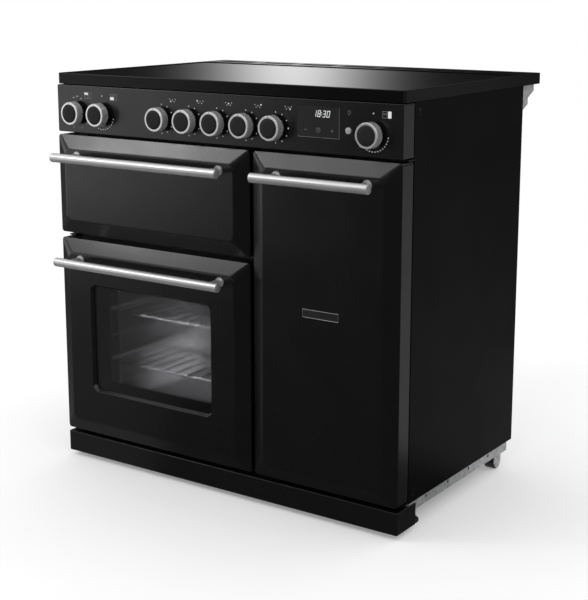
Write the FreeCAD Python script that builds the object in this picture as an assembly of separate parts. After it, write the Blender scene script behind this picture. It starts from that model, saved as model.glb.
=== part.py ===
import FreeCAD, Part
import math
import os

V = FreeCAD.Vector

# ---------------------------------------------------------------- driving dimensions, mm
# Frame: X to the right, Y to the back, Z up, origin under the middle of the whole part on the floor.
width = 900.0
height = 905.0
hob_depth = 618.0
floor_gap = 12.0

# hob top
frame_height = 24.0
frame_lip = 9.0
frame_wall = 3.0
frame_corner = 10.0
frame_round = 2.0
glass_thick = 4.0
glass_drop = 1.5
vent_depth = 96.0
vent_slots = 7
vent_slot_depth = 40.0
vent_slot_gap = 22.0
vent_margin = 30.0
tray_thick = 1.5
tray_rim = 10.0
coil_bore = 30.0
zone_front = 150.0
zone_side = 152.0
zone_pitch_y = 216.0
zone_small = 90.0
zone_large = 105.0
zone_centre = 115.0
board_width = 200.0
board_depth = 150.0
board_thick = 14.0

# control fascia
fascia_height = 105.5
fascia_depth = 40.0
fascia_wall = 2.0
fascia_top_gap = 2.0
fascia_corner = 3.0
fascia_round = 1.2
knob_drop = 61.0
knob_pitch = 74.7
grill_knob_inset = 60.0
oven_knob_inset = 66.5
hob_knobs = 5
hob_knob_from_clock = 102.5
clock_from_knob = 127.0
clock_width = 99.5
clock_height = 62.5
clock_rise = 17.2
clock_corner = 2.0
clock_glass = 3.0
clock_case_depth = 24.0
button_from_knob = 55.0
button_rise = 4.0
button_radius = 6.5
button_proud = 4.0
button_stem = 16.0
button_round = 1.0
button_gap = 0.3

# knobs and their switches
knob_front_radius = 25.2
knob_base_radius = 26.0
knob_depth = 27.0
knob_neck_radius = 20.0
knob_neck = 9.5
knob_rim = 4.6
knob_dish = 1.2
knob_round = 1.2
knob_gap = 0.5
spindle_radius = 3.0
spindle_run = 0.05
spindle_hole_gap = 2.0
spindle_length = 34.0
switch_size = 38.0
switch_depth = 24.0

# doors
door_depth = 40.0
door_wall = 2.0
door_bulge = 15.0
door_bevel = 31.0
door_edge_corner = 7.0
door_flat_corner = 16.0
door_bend = 14.0
tall_door_width = 352.5
door_side_gap = 9.5
fascia_door_gap = 6.5
grill_door_height = 224.5
grill_main_gap = 13.0
door_plinth_gap = 10.0
liner_thick = 2.0
liner_fit = 0.3

# oven window
window_width = 347.0
window_height = 253.0
window_corner = 17.0
window_bevel = 5.0
window_sink = 8.0
window_raise = 108.0
pane_thick = 4.0
pane_overlap = 10.0
inner_window_inset = 12.0

# handles
handle_radius = 10.0
handle_stand = 62.0
handle_inset = 38.0
handle_post_inset = 31.0
handle_post_radius = 6.5
handle_ring_radius = 10.5
handle_ring_thick = 3.0
handle_round = 1.0
handle_drop = 45.0

# hinges
pin_radius = 4.0
pin_run = 0.05
side_hinge_in = 10.0
side_hinge_back = 32.0
hinge_block = 8.0
hinge_block_height = 20.0
hinge_plate = 3.0
hinge_plate_half = 9.0
hinge_washer_gap = 0.6
drop_hinge_up = 16.0
drop_hinge_back = 8.0
drop_arm = 5.0
drop_arm_half = 5.0
drop_arm_slot = 2.0
drop_arm_inset = 26.0
drop_lug = 8.0

# carcass
side_panel_thick = 2.0
side_panel_inset = 2.0
side_panel_bottom = 63.5
carcass_setback = 47.0
carcass_back = 530.0
panel_turn = 14.0
plinth_height = 48.0
plinth_wall = 2.0
plinth_return = 76.0
rail_width = 34.0
rail_wall = 2.0
rail_bottom = 34.0
rail_inset = 12.0
rail_hole_radius = 4.0
rail_holes = 4
cross_depth = 30.0
bracket_thick = 2.0
bracket_lip = 16.0
bracket_slope = 14.0
bracket_tail = 44.0
bracket_mid_share = 0.6
bracket_tail_share = 0.2
back_panel_thick = 1.5
back_bulge = 9.0

# rollers and feet
roller_radius = 15.0
roller_width = 22.0
roller_axle_radius = 4.0
roller_axle_run = 0.05
roller_back = 490.0
roller_cheek = 3.0
roller_side_gap = 1.0
foot_radius = 17.0
foot_pad = 8.0
foot_chamfer = 1.5
foot_stud_radius = 6.0
foot_back = 110.0

# cavities
cavity_wall = 1.5
cavity_flange = 2.0
cavity_side_margin = 54.0
cavity_top_margin = 36.0
cavity_bottom_margin = 40.0
cavity_depth = 400.0
grill_cavity_depth = 380.0
seal_width = 9.0
seal_gap = 0.5
seal_margin = 6.0

# shelves, racks, grill pan
wire_radius = 2.5
shelf_edge_radius = 3.0
shelf_bar_radius = 2.0
shelf_front_gap = 22.0
shelf_fan_gap = 12.0
shelf_side_gap = 0.4
shelf_bars = 11
rack_gap = 0.3
rung_weld = 1.9
rack_rungs = 5
rack_pitch = 61.0
rack_first = 52.0
rack_post_share = 1 / 6
main_shelf_rungs = (1, 3)
tall_rack_rungs = 9
tall_shelf_rungs = (2, 5, 8)
pan_depth = 300.0
pan_height = 34.0
pan_wall = 1.5
pan_lip = 8.0
pan_side_gap = 22.0
pan_front_gap = 24.0
pan_rise = 44.0
pan_corner = 12.0
trivet_rise = 8.0
trivet_bars = 9
runner_thick = 2.0
runner_tip_gap = 1.0
grill_element_radius = 4.0
grill_element_drop = 24.0
grill_element_rows = 5
grill_element_bend = 18.0

# fans
fan_radius = 68.0
fan_hub_radius = 12.0
fan_blades = 12
fan_blade_thick = 1.5
fan_width = 18.0
fan_wall_gap = 7.0
fan_shaft_radius = 4.0
fan_shaft_run = 0.05
fan_shaft_gap = 1.0
fan_cover_radius = 96.0
fan_cover_depth = 34.0
fan_cover_wall = 1.5
fan_cover_slots = 8
fan_cover_inner_slot = (0.22, 0.48)
fan_cover_outer_slot = (0.56, 0.84)
ring_element_radius = 82.0
ring_tube_radius = 3.5
ring_lead_radius = 3.0
motor_radius = 32.0
motor_length = 44.0
lamp_radius = 16.0
lamp_proud = 12.0

# terminal box
terminal_width = 120.0
terminal_height = 80.0
terminal_depth = 36.0
terminal_corner = 4.0
gland_radius = 14.0
gland_length = 18.0

# ---------------------------------------------------------------- places worked out from the sizes
handle_reach = handle_stand + handle_radius
face_y = handle_reach - (hob_depth + handle_reach) / 2
hob_back_y = face_y + hob_depth
carcass_y = face_y + carcass_setback
carcass_back_y = face_y + carcass_back
half = width / 2
frame_bottom = height - frame_height
fascia_top = frame_bottom - fascia_top_gap
fascia_bottom = fascia_top - fascia_height
door_top = fascia_bottom - fascia_door_gap
grill_door_bottom = door_top - grill_door_height
main_door_top = grill_door_bottom - grill_main_gap
plinth_top = floor_gap + plinth_height
door_bottom = plinth_top + door_plinth_gap
tall_door_left = half - tall_door_width
left_door_right = tall_door_left - door_side_gap
door_back_y = face_y + door_depth
knob_z = fascia_top - knob_drop
grill_knob_x = grill_knob_inset - half
oven_knob_x = half - oven_knob_inset
button_x = oven_knob_x - button_from_knob
clock_x = oven_knob_x - clock_from_knob
hob_knob_x = clock_x - hob_knob_from_clock - knob_pitch * (hob_knobs - 1)
panel_outer = half - side_panel_inset
panel_inner = panel_outer - side_panel_thick
rail_mid = panel_outer - rail_inset - rail_width / 2
shelf_length = cavity_depth - fan_cover_depth - shelf_fan_gap - shelf_front_gap
past = 1.0      # how far a cutting solid goes past the face that it cuts
near = 1e-4     # two places closer than this are the same place

os.makedirs("parts", exist_ok=True)


# ---------------------------------------------------------------- shape helpers
def save(name, *solids):
    shape = solids[0] if len(solids) == 1 else Part.makeCompound(list(solids))
    shape.exportStep("parts/" + name + ".step")


def box(x0, x1, y0, y1, z0, z1):
    return Part.makeBox(x1 - x0, y1 - y0, z1 - z0, V(x0, y0, z0))


def rod(start, end, radius):
    axis = end - start
    return Part.makeCylinder(radius, axis.Length, start, axis)


def union(shapes):
    return shapes[0].multiFuse(shapes[1:]).removeSplitter()


def rounded(x0, x1, z0, z1, corner, y):
    """Rounded rectangle in the plane Y = y."""
    mid = corner * (1 - math.sqrt(0.5))
    points = [
        (V(x0 + corner, y, z0), V(x1 - corner, y, z0), V(x1 - mid, y, z0 + mid), V(x1, y, z0 + corner)),
        (V(x1, y, z0 + corner), V(x1, y, z1 - corner), V(x1 - mid, y, z1 - mid), V(x1 - corner, y, z1)),
        (V(x1 - corner, y, z1), V(x0 + corner, y, z1), V(x0 + mid, y, z1 - mid), V(x0, y, z1 - corner)),
        (V(x0, y, z1 - corner), V(x0, y, z0 + corner), V(x0 + mid, y, z0 + mid), V(x0 + corner, y, z0)),
    ]
    edges = []
    for side_start, side_end, bend, bend_end in points:
        edges.append(Part.LineSegment(side_start, side_end).toShape())
        edges.append(Part.Arc(side_end, bend, bend_end).toShape())
    return Part.Wire(edges)


def slab(x0, x1, z0, z1, corner, y0, y1):
    """Rounded plate from Y = y0 to y1."""
    return Part.Face(rounded(x0, x1, z0, z1, corner, y0)).extrude(V(0, y1 - y0, 0))


def frustum(wide, narrow):
    return Part.makeLoft([wide, narrow], True, True)


def flat_edges(solid, y):
    """Edges that lie wholly in the plane Y = y."""
    return [e for e in solid.Edges if all(abs(v.Y - y) < near for v in e.Vertexes)
            and abs(e.BoundBox.YMax - e.BoundBox.YMin) < near]


def tube(points, bend, radius):
    """Rod that runs through the points, with an arc of the given radius at every corner."""
    edges = []
    start = points[0]
    for before, corner, after in zip(points, points[1:], points[2:]):
        into = V(corner - before).normalize()
        out = V(after - corner).normalize()
        half_turn = into.getAngle(out) / 2
        inward = V(out - into).normalize()
        bend_start = corner - into * (bend * math.tan(half_turn))
        bend_end = corner + out * (bend * math.tan(half_turn))
        crest = corner + inward * (bend / math.cos(half_turn) - bend)
        edges.append(Part.LineSegment(start, bend_start).toShape())
        edges.append(Part.Arc(bend_start, crest, bend_end).toShape())
        start = bend_end
    edges.append(Part.LineSegment(start, points[-1]).toShape())
    section = Part.Wire(Part.makeCircle(radius, points[0], points[1] - points[0]))
    return Part.Wire(edges).makePipeShell([section], True, True)


def wire_net(rods):
    """One welded solid from a list of (start, end, radius) rods."""
    return union([rod(start, end, radius) for start, end, radius in rods])


# ---------------------------------------------------------------- carcass
def side_panel(side):
    """Satin side sheet with a turned-in front and rear edge; side is -1 left, 1 right."""
    x0, x1 = sorted((side * panel_outer, side * panel_inner))
    turn0, turn1 = sorted((side * panel_outer, side * (panel_outer - panel_turn)))
    sheet = box(x0, x1, carcass_y, carcass_back_y, side_panel_bottom, frame_bottom)
    front = box(turn0, turn1, carcass_y, carcass_y + side_panel_thick, side_panel_bottom, frame_bottom)
    rear = box(turn0, turn1, carcass_back_y - side_panel_thick, carcass_back_y, side_panel_bottom,
               frame_bottom)
    return union([sheet, front, rear])


def back_panel():
    """Galvanised rear cover with a shallow raised centre."""
    edge = panel_outer - rail_inset
    low, high = side_panel_bottom, frame_bottom
    raise_in = 2 * panel_turn
    plate = box(-edge, edge, carcass_back_y, carcass_back_y + back_panel_thick, low, high)
    crown = box(-edge + raise_in, edge - raise_in, carcass_back_y, carcass_back_y + back_bulge,
                low + raise_in, high - 2 * raise_in)
    hollow = box(-edge + raise_in + back_panel_thick, edge - raise_in - back_panel_thick, carcass_back_y,
                 carcass_back_y + back_bulge - back_panel_thick, low + raise_in + back_panel_thick,
                 high - 2 * raise_in - back_panel_thick)
    return union([plate, crown]).cut(hollow)


def hob_bracket(side):
    """Stepped galvanised gusset that carries the rear overhang of the hob."""
    reach = hob_back_y - carcass_back_y - panel_turn
    top = frame_bottom
    mid, tail = bracket_mid_share * reach, bracket_tail_share * reach
    low_lip = -bracket_lip
    low_mid = low_lip - bracket_slope
    low_tail = low_mid - 2 * bracket_slope
    foot_z = low_tail - bracket_tail
    steps = [(0, 0), (reach, 0), (reach, low_lip), (mid, low_mid), (mid, low_mid - bracket_slope),
             (tail, low_tail), (tail, foot_z), (0, foot_z)]
    x0 = min(side * (panel_outer - rail_inset), side * (panel_outer - rail_inset + bracket_thick))
    points = [V(x0, carcass_back_y + back_panel_thick + y, top + z) for y, z in steps]
    return Part.Face(Part.makePolygon(points + points[:1])).extrude(V(bracket_thick, 0, 0))


def base_rail(side):
    """Galvanised floor rail: a channel open to the inside, with a row of holes in its web."""
    x_out = side * (panel_outer - rail_inset)
    x_in = side * (panel_outer - rail_inset - rail_width)
    x0, x1 = sorted((x_out, x_in))
    y0 = carcass_y + plinth_wall
    block = box(x0, x1, y0, carcass_back_y, rail_bottom, side_panel_bottom)
    h0, h1 = sorted((x_out - side * rail_wall, x_in - side * past))
    hollow = box(h0, h1, y0 - past, carcass_back_y + past, rail_bottom + rail_wall,
                 side_panel_bottom - rail_wall)
    channel = block.cut(hollow)
    pitch = (carcass_back_y - y0) / (rail_holes + 1)
    z = (rail_bottom + side_panel_bottom) / 2
    places = [y0 + pitch * (i + 1) for i in range(rail_holes)]
    drills = [rod(V(x0 - past, y, z), V(x1 + past, y, z), rail_hole_radius) for y in places]
    return channel.cut(Part.makeCompound(drills))


def base_cross(y0):
    """Cross member between the two floor rails."""
    edge = panel_outer - rail_inset - rail_width
    block = box(-edge, edge, y0, y0 + cross_depth, rail_bottom, side_panel_bottom)
    hollow = box(-edge - past, edge + past, y0 + rail_wall, y0 + cross_depth - rail_wall, rail_bottom - past,
                 side_panel_bottom - rail_wall)
    return block.cut(hollow)


def plinth():
    """Front kick plate with a return at each end and a turned-in top edge."""
    front = box(-half, half, face_y, face_y + plinth_wall, floor_gap, plinth_top)
    top = box(-half, half, face_y, carcass_y + plinth_wall, plinth_top - plinth_wall, plinth_top)
    ends = [box(x0, x0 + plinth_wall, face_y, face_y + plinth_return, floor_gap, plinth_top)
            for x0 in (-half, half - plinth_wall)]
    return union([front, top] + ends)


def roller_centre(side):
    return V(side * rail_mid, face_y + roller_back, roller_radius)


def roller(side):
    """Rear roller with its hub bore."""
    c = roller_centre(side)
    across = V(roller_width / 2, 0, 0)
    tyre = rod(c - across, c + across, roller_radius)
    bore = rod(c - across, c + across, roller_axle_radius + roller_axle_run)
    return tyre.cut(bore)


def roller_bracket(side):
    """Fork under the floor rail that holds the roller's axle."""
    c = roller_centre(side)
    inner = roller_width / 2 + roller_side_gap
    outer = inner + roller_cheek
    top = rail_bottom
    bridge = box(c.x - outer, c.x + outer, c.y - roller_radius, c.y + roller_radius, top - roller_cheek, top)
    cheeks = []
    for x0 in (c.x - outer, c.x + inner):
        plate = box(x0, x0 + roller_cheek, c.y - roller_radius, c.y + roller_radius, c.z, top)
        nose = rod(V(x0, c.y, c.z), V(x0 + roller_cheek, c.y, c.z), roller_radius - roller_cheek)
        cheeks += [plate, nose]
    axle = rod(V(c.x - outer, c.y, c.z), V(c.x + outer, c.y, c.z), roller_axle_radius)
    return union([bridge, axle] + cheeks)


def foot(side):
    """Levelling foot under the front of the floor rail: pad and threaded stud."""
    x = side * rail_mid
    y = face_y + foot_back
    pad = Part.makeCylinder(foot_radius, foot_pad, V(x, y, 0))
    pad = pad.makeChamfer(foot_chamfer, [e for e in pad.Edges if len(e.Vertexes) == 1])
    stud = Part.makeCylinder(foot_stud_radius, rail_bottom - foot_pad, V(x, y, foot_pad))
    return pad.fuse(stud)


def terminal_box():
    """Mains terminal box on the rear cover, with a cable gland underneath."""
    x1 = panel_outer - rail_inset - 3 * panel_turn
    x0 = x1 - terminal_width
    y0 = carcass_back_y + back_bulge
    z0 = side_panel_bottom + 4 * panel_turn
    case = box(x0, x1, y0, y0 + terminal_depth, z0, z0 + terminal_height)
    case = case.makeFillet(terminal_corner, flat_edges(case, y0 + terminal_depth))
    c = V((x0 + x1) / 2, y0 + terminal_depth / 2, z0)
    gland = rod(c - V(0, 0, gland_length), c, gland_radius)
    bore = rod(c - V(0, 0, gland_length), c + V(0, 0, gland_length), gland_radius / 2)
    return case.fuse(gland).cut(bore)


# ---------------------------------------------------------------- hob
def hob_frame():
    """Black enamelled surround: a rim that holds the glass, and a raised rear deck for the vent."""
    bed = glass_thick + glass_drop
    rim = Part.Face(rim_outline(0, frame_bottom)).extrude(V(0, 0, frame_height))
    rim = rim.makeFillet(frame_round, [e for e in rim.Edges if abs(e.BoundBox.ZMin - height) < near])
    deck_y = hob_back_y - vent_depth
    well = box(-half + frame_lip, half - frame_lip, face_y + frame_lip, deck_y, height - bed,
               height + past)
    under = box(-half + frame_lip + frame_wall, half - frame_lip - frame_wall,
                face_y + frame_lip + frame_wall, deck_y - frame_wall, frame_bottom - past, height)
    duct = box(-half + frame_lip + frame_wall, half - frame_lip - frame_wall, deck_y + frame_wall,
               hob_back_y - frame_lip, frame_bottom - past, height + past)
    return rim.cut(well).cut(under).cut(duct)


def rim_outline(inset, z):
    """Rounded plan outline of the hob at height z."""
    flat = rounded(-half + inset, half - inset, face_y + inset, hob_back_y - inset, frame_corner, 0)
    return flat.rotated(V(0, 0, 0), V(1, 0, 0), -90).translated(V(0, 0, z))


def hob_glass():
    top = height - glass_drop
    x = half - frame_lip - liner_fit
    return box(-x, x, face_y + frame_lip + liner_fit, hob_back_y - vent_depth - liner_fit,
               top - glass_thick, top)


def hob_tray():
    """Galvanised tray under the glass that carries the coils."""
    inset = frame_lip + frame_wall + liner_fit
    x = half - inset
    y0 = face_y + inset
    y1 = hob_back_y - vent_depth - frame_wall - liner_fit
    z0 = frame_bottom
    z1 = z0 + tray_rim
    block = box(-x, x, y0, y1, z0, z1)
    w = tray_thick
    return block.cut(box(-x + w, x - w, y0 + w, y1 - w, z0 + w, z1 + past))


def coil_places():
    """Centre and radius of each cooking zone."""
    y_front = face_y + zone_front
    y_rear = y_front + zone_pitch_y
    x = half - zone_side
    return [(-x, y_front, zone_small), (-x, y_rear, zone_large), (0, (y_front + y_rear) / 2, zone_centre),
            (x, y_rear, zone_small), (x, y_front, zone_large)]


def induction_coils():
    z0 = frame_bottom + tray_thick
    z1 = height - glass_drop - glass_thick
    coils = []
    for x, y, radius in coil_places():
        disc = rod(V(x, y, z0), V(x, y, z1), radius)
        coils.append(disc.cut(rod(V(x, y, z0 - past), V(x, y, z1 + past), coil_bore)))
    return coils


def vent_grille():
    """Raised rear vent with a row of long slots."""
    x = half - frame_lip - frame_wall - liner_fit
    y0 = hob_back_y - vent_depth + frame_wall + liner_fit
    y1 = hob_back_y - frame_lip - liner_fit
    plate = box(-x, x, y0, y1, height - glass_thick, height)
    span = (2 * x - 2 * vent_margin - (vent_slots - 1) * vent_slot_gap) / vent_slots
    mid = (y0 + y1) / 2
    slots = []
    for i in range(vent_slots):
        left = -x + vent_margin + i * (span + vent_slot_gap)
        slots.append(box(left, left + span, mid - vent_slot_depth / 2, mid + vent_slot_depth / 2,
                         height - glass_thick - past, height + past))
    louvres = box(-x + vent_margin / 2, x - vent_margin / 2, mid - glass_thick / 2, mid + glass_thick / 2,
                  height - glass_thick, height)
    return union([plate.cut(Part.makeCompound(slots)), louvres])


# ---------------------------------------------------------------- control fascia
def knob_centres():
    """Name and X of every rotary control, left to right."""
    places = [("knob_grill_function", grill_knob_x), ("knob_main_oven", grill_knob_x + knob_pitch)]
    places += [("knob_hob_zone_%d" % (i + 1), hob_knob_x + knob_pitch * i) for i in range(hob_knobs)]
    return places + [("knob_tall_oven", oven_knob_x)]


def control_fascia():
    """Folded front tray with holes for the spindles, the button and the clock."""
    z0, z1 = fascia_bottom, fascia_top
    tray = slab(-half, half, z0, z1, fascia_corner, face_y, face_y + fascia_depth)
    tray = tray.makeFillet(fascia_round, flat_edges(tray, face_y))
    wall = fascia_wall
    y1 = face_y + fascia_depth + past
    tray = tray.cut(box(-half + wall, half - wall, face_y + wall, y1, z0 + wall, z1 - wall))
    cuts = spindle_holes(face_y - past, face_y + wall + past)
    z = knob_z + button_rise
    button_hole = button_radius + button_gap
    cuts.append(rod(V(button_x, face_y - past, z), V(button_x, face_y + wall + past, z), button_hole))
    cuts.append(clock_slab(face_y - past, face_y + wall + past, liner_fit))
    return tray.cut(Part.makeCompound(cuts))


def spindle_holes(y0, y1):
    """Cutting rods for the hole round every knob's spindle."""
    radius = spindle_radius + spindle_hole_gap
    return [rod(V(x, y0, knob_z), V(x, y1, knob_z), radius) for _, x in knob_centres()]


def clock_slab(y0, y1, grow):
    """Rounded plate in the fascia's clock opening, grown by the given margin."""
    z = knob_z + clock_rise
    across = clock_width / 2 + grow
    up = clock_height / 2 + grow
    return slab(clock_x - across, clock_x + across, z - up, z + up, clock_corner, y0, y1)


def clock_module():
    """Timer case behind the fascia."""
    return clock_slab(face_y + clock_glass, face_y + clock_glass + clock_case_depth, 0)


def fascia_chassis():
    """Steel channel across the carcass that the switches and the fascia are fixed to."""
    y0 = face_y + spindle_length - 2 * fascia_wall
    y1 = carcass_y
    wall = fascia_wall
    x = half - wall
    z0, z1 = fascia_bottom + wall, fascia_top - wall
    beam = box(-x, x, y0, y1, z0, z1)
    beam = beam.cut(box(-x - past, x + past, y0 + wall, y1 + past, z0 + wall, z1 - wall))
    return beam.cut(Part.makeCompound(spindle_holes(y0 - past, y0 + wall + past)))


def knob(x):
    """Knob on its spindle: a narrow neck, then a wide tapered body with a dished face."""
    y_base = face_y - knob_gap
    y_body = y_base - knob_neck
    y_front = y_base - knob_depth
    front, base = knob_front_radius, knob_base_radius
    profile = [V(x, y_base, 0), V(x + knob_neck_radius, y_base, 0), V(x + knob_neck_radius, y_body, 0),
               V(x + base, y_body, 0), V(x + front, y_front + knob_round, 0),
               V(x + front - knob_round, y_front, 0), V(x + front - knob_rim, y_front, 0),
               V(x + front - knob_rim, y_front + knob_dish, 0), V(x, y_front + knob_dish, 0)]
    body = Part.Face(Part.makePolygon(profile + profile[:1])).revolve(V(x, 0, 0), V(0, 1, 0), 360)
    body = body.translated(V(0, 0, knob_z))
    spindle = rod(V(x, y_base, knob_z), V(x, face_y + spindle_length, knob_z), spindle_radius)
    return body.fuse(spindle)


def rotary_switch(x):
    """Switch body with the bore that the spindle turns in."""
    y0 = face_y + fascia_wall
    y1 = y0 + switch_depth
    r = switch_size / 2
    body = box(x - r, x + r, y0, y1, knob_z - r, knob_z + r)
    return body.cut(rod(V(x, y0 - past, knob_z), V(x, y1 + past, knob_z), spindle_radius + spindle_run))


def light_button():
    z = knob_z + button_rise
    cap = rod(V(button_x, face_y - button_proud, z), V(button_x, face_y + fascia_wall, z), button_radius)
    cap = cap.makeFillet(button_round, flat_edges(cap, face_y - button_proud))
    stem = rod(V(button_x, face_y, z), V(button_x, face_y + button_stem, z), button_radius / 2)
    return cap.fuse(stem)


# ---------------------------------------------------------------- doors
def door_panel(x0, x1, z0, z1):
    """Pressed outer door: raised flat centre, bevel all round, deep side edges, open at the rear."""
    def shell(inset, y_edge, y_flat, y_rear, corner_edge, corner_flat):
        edge = rounded(x0 + inset, x1 - inset, z0 + inset, z1 - inset, corner_edge, y_edge)
        bevel = door_bevel + inset / 2
        flat = rounded(x0 + bevel, x1 - bevel, z0 + bevel, z1 - bevel, corner_flat, y_flat)
        return frustum(edge, flat), Part.Face(edge).extrude(V(0, y_rear - y_edge, 0))

    front = face_y - door_bulge
    crown, skirt = shell(0, face_y, front, door_back_y, door_edge_corner, door_flat_corner)
    crown = crown.makeFillet(door_bend, flat_edges(crown, front))
    outer = crown.fuse(skirt).removeSplitter()
    crown_in, skirt_in = shell(door_wall, face_y + door_wall / 2, front + door_wall, door_back_y + past,
                               door_edge_corner - door_wall, door_flat_corner)
    crown_in = crown_in.makeFillet(door_bend, flat_edges(crown_in, front + door_wall))
    return outer.cut(crown_in).cut(skirt_in)


def door_liner(x0, x1, z0, z1):
    """Inner door pan that closes the rear, with a flange folded forward inside the outer door."""
    inset = door_wall + liner_fit
    corner = door_edge_corner - door_wall
    fold = 5 * liner_thick
    pan = slab(x0 + inset, x1 - inset, z0 + inset, z1 - inset, corner, door_back_y - fold, door_back_y)
    deep = inset + liner_thick
    hollow = slab(x0 + deep, x1 - deep, z0 + deep, z1 - deep, corner - liner_thick, door_back_y - fold - past,
                  door_back_y - liner_thick)
    return pan.cut(hollow)


def handle(x0, x1, z):
    """Round bar with two posts and their base rings."""
    y = face_y - handle_stand
    flat = face_y - door_bulge
    bar = rod(V(x0, y, z), V(x1, y, z), handle_radius)
    bar = bar.makeFillet(handle_round, [e for e in bar.Edges if len(e.Vertexes) == 1])
    pieces = [bar]
    for x in (x0 + handle_post_inset, x1 - handle_post_inset):
        pieces.append(rod(V(x, flat, z), V(x, y, z), handle_post_radius))
        pieces.append(rod(V(x, flat, z), V(x, flat - handle_ring_thick, z), handle_ring_radius))
    return union(pieces)


def door_handle(x0, x1, z1):
    return handle(x0 + handle_inset, x1 - handle_inset, z1 - handle_drop)


def window_slab(grow, y0, y1):
    """Plate over the oven window, grown by the given margin."""
    corner = max(window_corner + grow, liner_thick)
    return slab(window_x0 - grow, window_x1 + grow, window_z0 - grow, window_z1 + grow, corner, y0, y1)


def window_rect(grow, y):
    return rounded(window_x0 - grow, window_x1 + grow, window_z0 - grow, window_z1 + grow,
                   window_corner + grow, y)


def main_door_panel():
    """Oven door with a window whose edge is pressed inwards to the glass."""
    front = face_y - door_bulge
    lip = frustum(window_rect(door_wall, front), window_rect(door_wall - window_bevel, front + window_sink))
    mouth = frustum(window_rect(0, front), window_rect(-window_bevel, front + window_sink))
    return side_door_panel(main_door, -1).fuse(lip).cut(mouth)


def main_door_window():
    y0 = face_y - door_bulge + window_sink
    return window_slab(pane_overlap - window_bevel, y0, y0 + pane_thick)


def main_door_inner_glass():
    y1 = door_back_y - liner_thick
    return window_slab(pane_overlap - inner_window_inset, y1 - pane_thick, y1)


def hinge_axis(door, side):
    """Upright axis of a side-hung door; side is -1 for a left hinge, 1 for a right one."""
    x0, x1, _, _ = door
    x = x0 + side_hinge_in if side < 0 else x1 - side_hinge_in
    return x, face_y + side_hinge_back


def hinge_pins(door, side, radius):
    """Upright pin at the bottom and the top of a side-hung door."""
    _, _, z0, z1 = door
    x, y = hinge_axis(door, side)
    reach = hinge_washer_gap + hinge_plate
    low = rod(V(x, y, z0 - reach), V(x, y, z0 + hinge_block_height), radius)
    high = rod(V(x, y, z1 - hinge_block_height), V(x, y, z1 + reach), radius)
    return [low, high]


def side_door_panel(door, side):
    return door_panel(*door).cut(Part.makeCompound(hinge_pins(door, side, pin_radius + pin_run)))


def side_door_liner(door, side):
    """Inner pan with a bored block behind each hinge pin."""
    x0, x1, z0, z1 = door
    x, y = hinge_axis(door, side)
    inset = door_wall + liner_fit
    left = x - side_hinge_in + inset if side < 0 else x - hinge_block
    right = x + hinge_block if side < 0 else x + side_hinge_in - inset
    y1 = door_back_y - liner_thick / 2
    blocks = [box(left, right, y - hinge_block, y1, low, low + hinge_block_height - door_edge_corner)
              for low in (z0 + door_edge_corner, z1 - hinge_block_height)]
    liner = union([door_liner(*door)] + blocks)
    return liner.cut(Part.makeCompound(hinge_pins(door, side, pin_radius + pin_run)))


def side_hinges(door, side):
    """Carcass side of a side-hung door: a plate and pin below and above it."""
    _, _, z0, z1 = door
    x, y = hinge_axis(door, side)
    leaves = []
    heights = (z0 - hinge_washer_gap - hinge_plate, z1 + hinge_washer_gap)
    for z, pin in zip(heights, hinge_pins(door, side, pin_radius)):
        plate = box(x - hinge_plate_half, x + hinge_plate_half, y - hinge_plate_half, carcass_y,
                    z, z + hinge_plate)
        leaves.append(plate.fuse(pin))
    return leaves


def drop_axis():
    return face_y + drop_hinge_back, grill_door_bottom + drop_hinge_up


def drop_arm_places():
    x0, x1, _, _ = grill_door
    return x0 + drop_arm_inset, x1 - drop_arm_inset


def drop_hinges():
    """Carcass side of the drop-down door: an arm with a cross pin at each end."""
    y, z = drop_axis()
    reach = drop_arm / 2 + drop_arm_slot + drop_lug
    arms = []
    for x in drop_arm_places():
        across = V(drop_arm / 2, 0, 0)
        plate = box(x - drop_arm / 2, x + drop_arm / 2, y, carcass_y, z - drop_arm_half, z + drop_arm_half)
        eye = rod(V(x, y, z) - across, V(x, y, z) + across, drop_arm_half)
        pin = rod(V(x - reach, y, z), V(x + reach, y, z), pin_radius)
        arms.append(union([plate, eye, pin]))
    return arms


def drop_slots():
    """Room in the door for the arms to swing through."""
    y, z = drop_axis()
    half_slot = drop_arm / 2 + drop_arm_slot
    top = z + drop_arm_half + drop_arm_slot
    return [box(x - half_slot, x + half_slot, face_y + door_wall, door_back_y + past,
                grill_door_bottom - past, top)
            for x in drop_arm_places()]


def grill_door_panel():
    return door_panel(*grill_door).cut(Part.makeCompound(drop_slots()))


def grill_door_liner():
    """Inner pan with two bored lugs beside each hinge arm."""
    y, z = drop_axis()
    inset = door_wall + liner_fit
    reach = drop_arm / 2 + drop_arm_slot + drop_lug
    lugs = [box(x - reach, x + reach, y - drop_arm_half, door_back_y - liner_thick / 2,
                grill_door_bottom + inset, z + drop_lug) for x in drop_arm_places()]
    bores = [rod(V(x - reach - past, y, z), V(x + reach + past, y, z), pin_radius + pin_run)
             for x in drop_arm_places()]
    liner = union([door_liner(*grill_door)] + lugs)
    return liner.cut(Part.makeCompound(drop_slots() + bores))


# ---------------------------------------------------------------- cavities
def mouth(door):
    """Opening of the compartment behind a door: x0, x1, z0, z1."""
    x0, x1, z0, z1 = door
    return (x0 + cavity_side_margin, x1 - cavity_side_margin,
            z0 + cavity_bottom_margin, z1 - cavity_top_margin)


def flange_edges(door):
    """Outline of a compartment's front flange, out to its neighbours: x0, x1, z0, z1."""
    side = panel_outer - panel_turn
    mid_x = left_door_right + door_side_gap / 2
    mid_z = main_door_top + grill_main_gap / 2
    x0 = mid_x if door is tall_door else -side
    x1 = side if door is tall_door else mid_x
    z0 = mid_z if door is grill_door else side_panel_bottom
    z1 = mid_z if door is main_door else fascia_bottom
    return x0, x1, z0, z1


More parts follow.
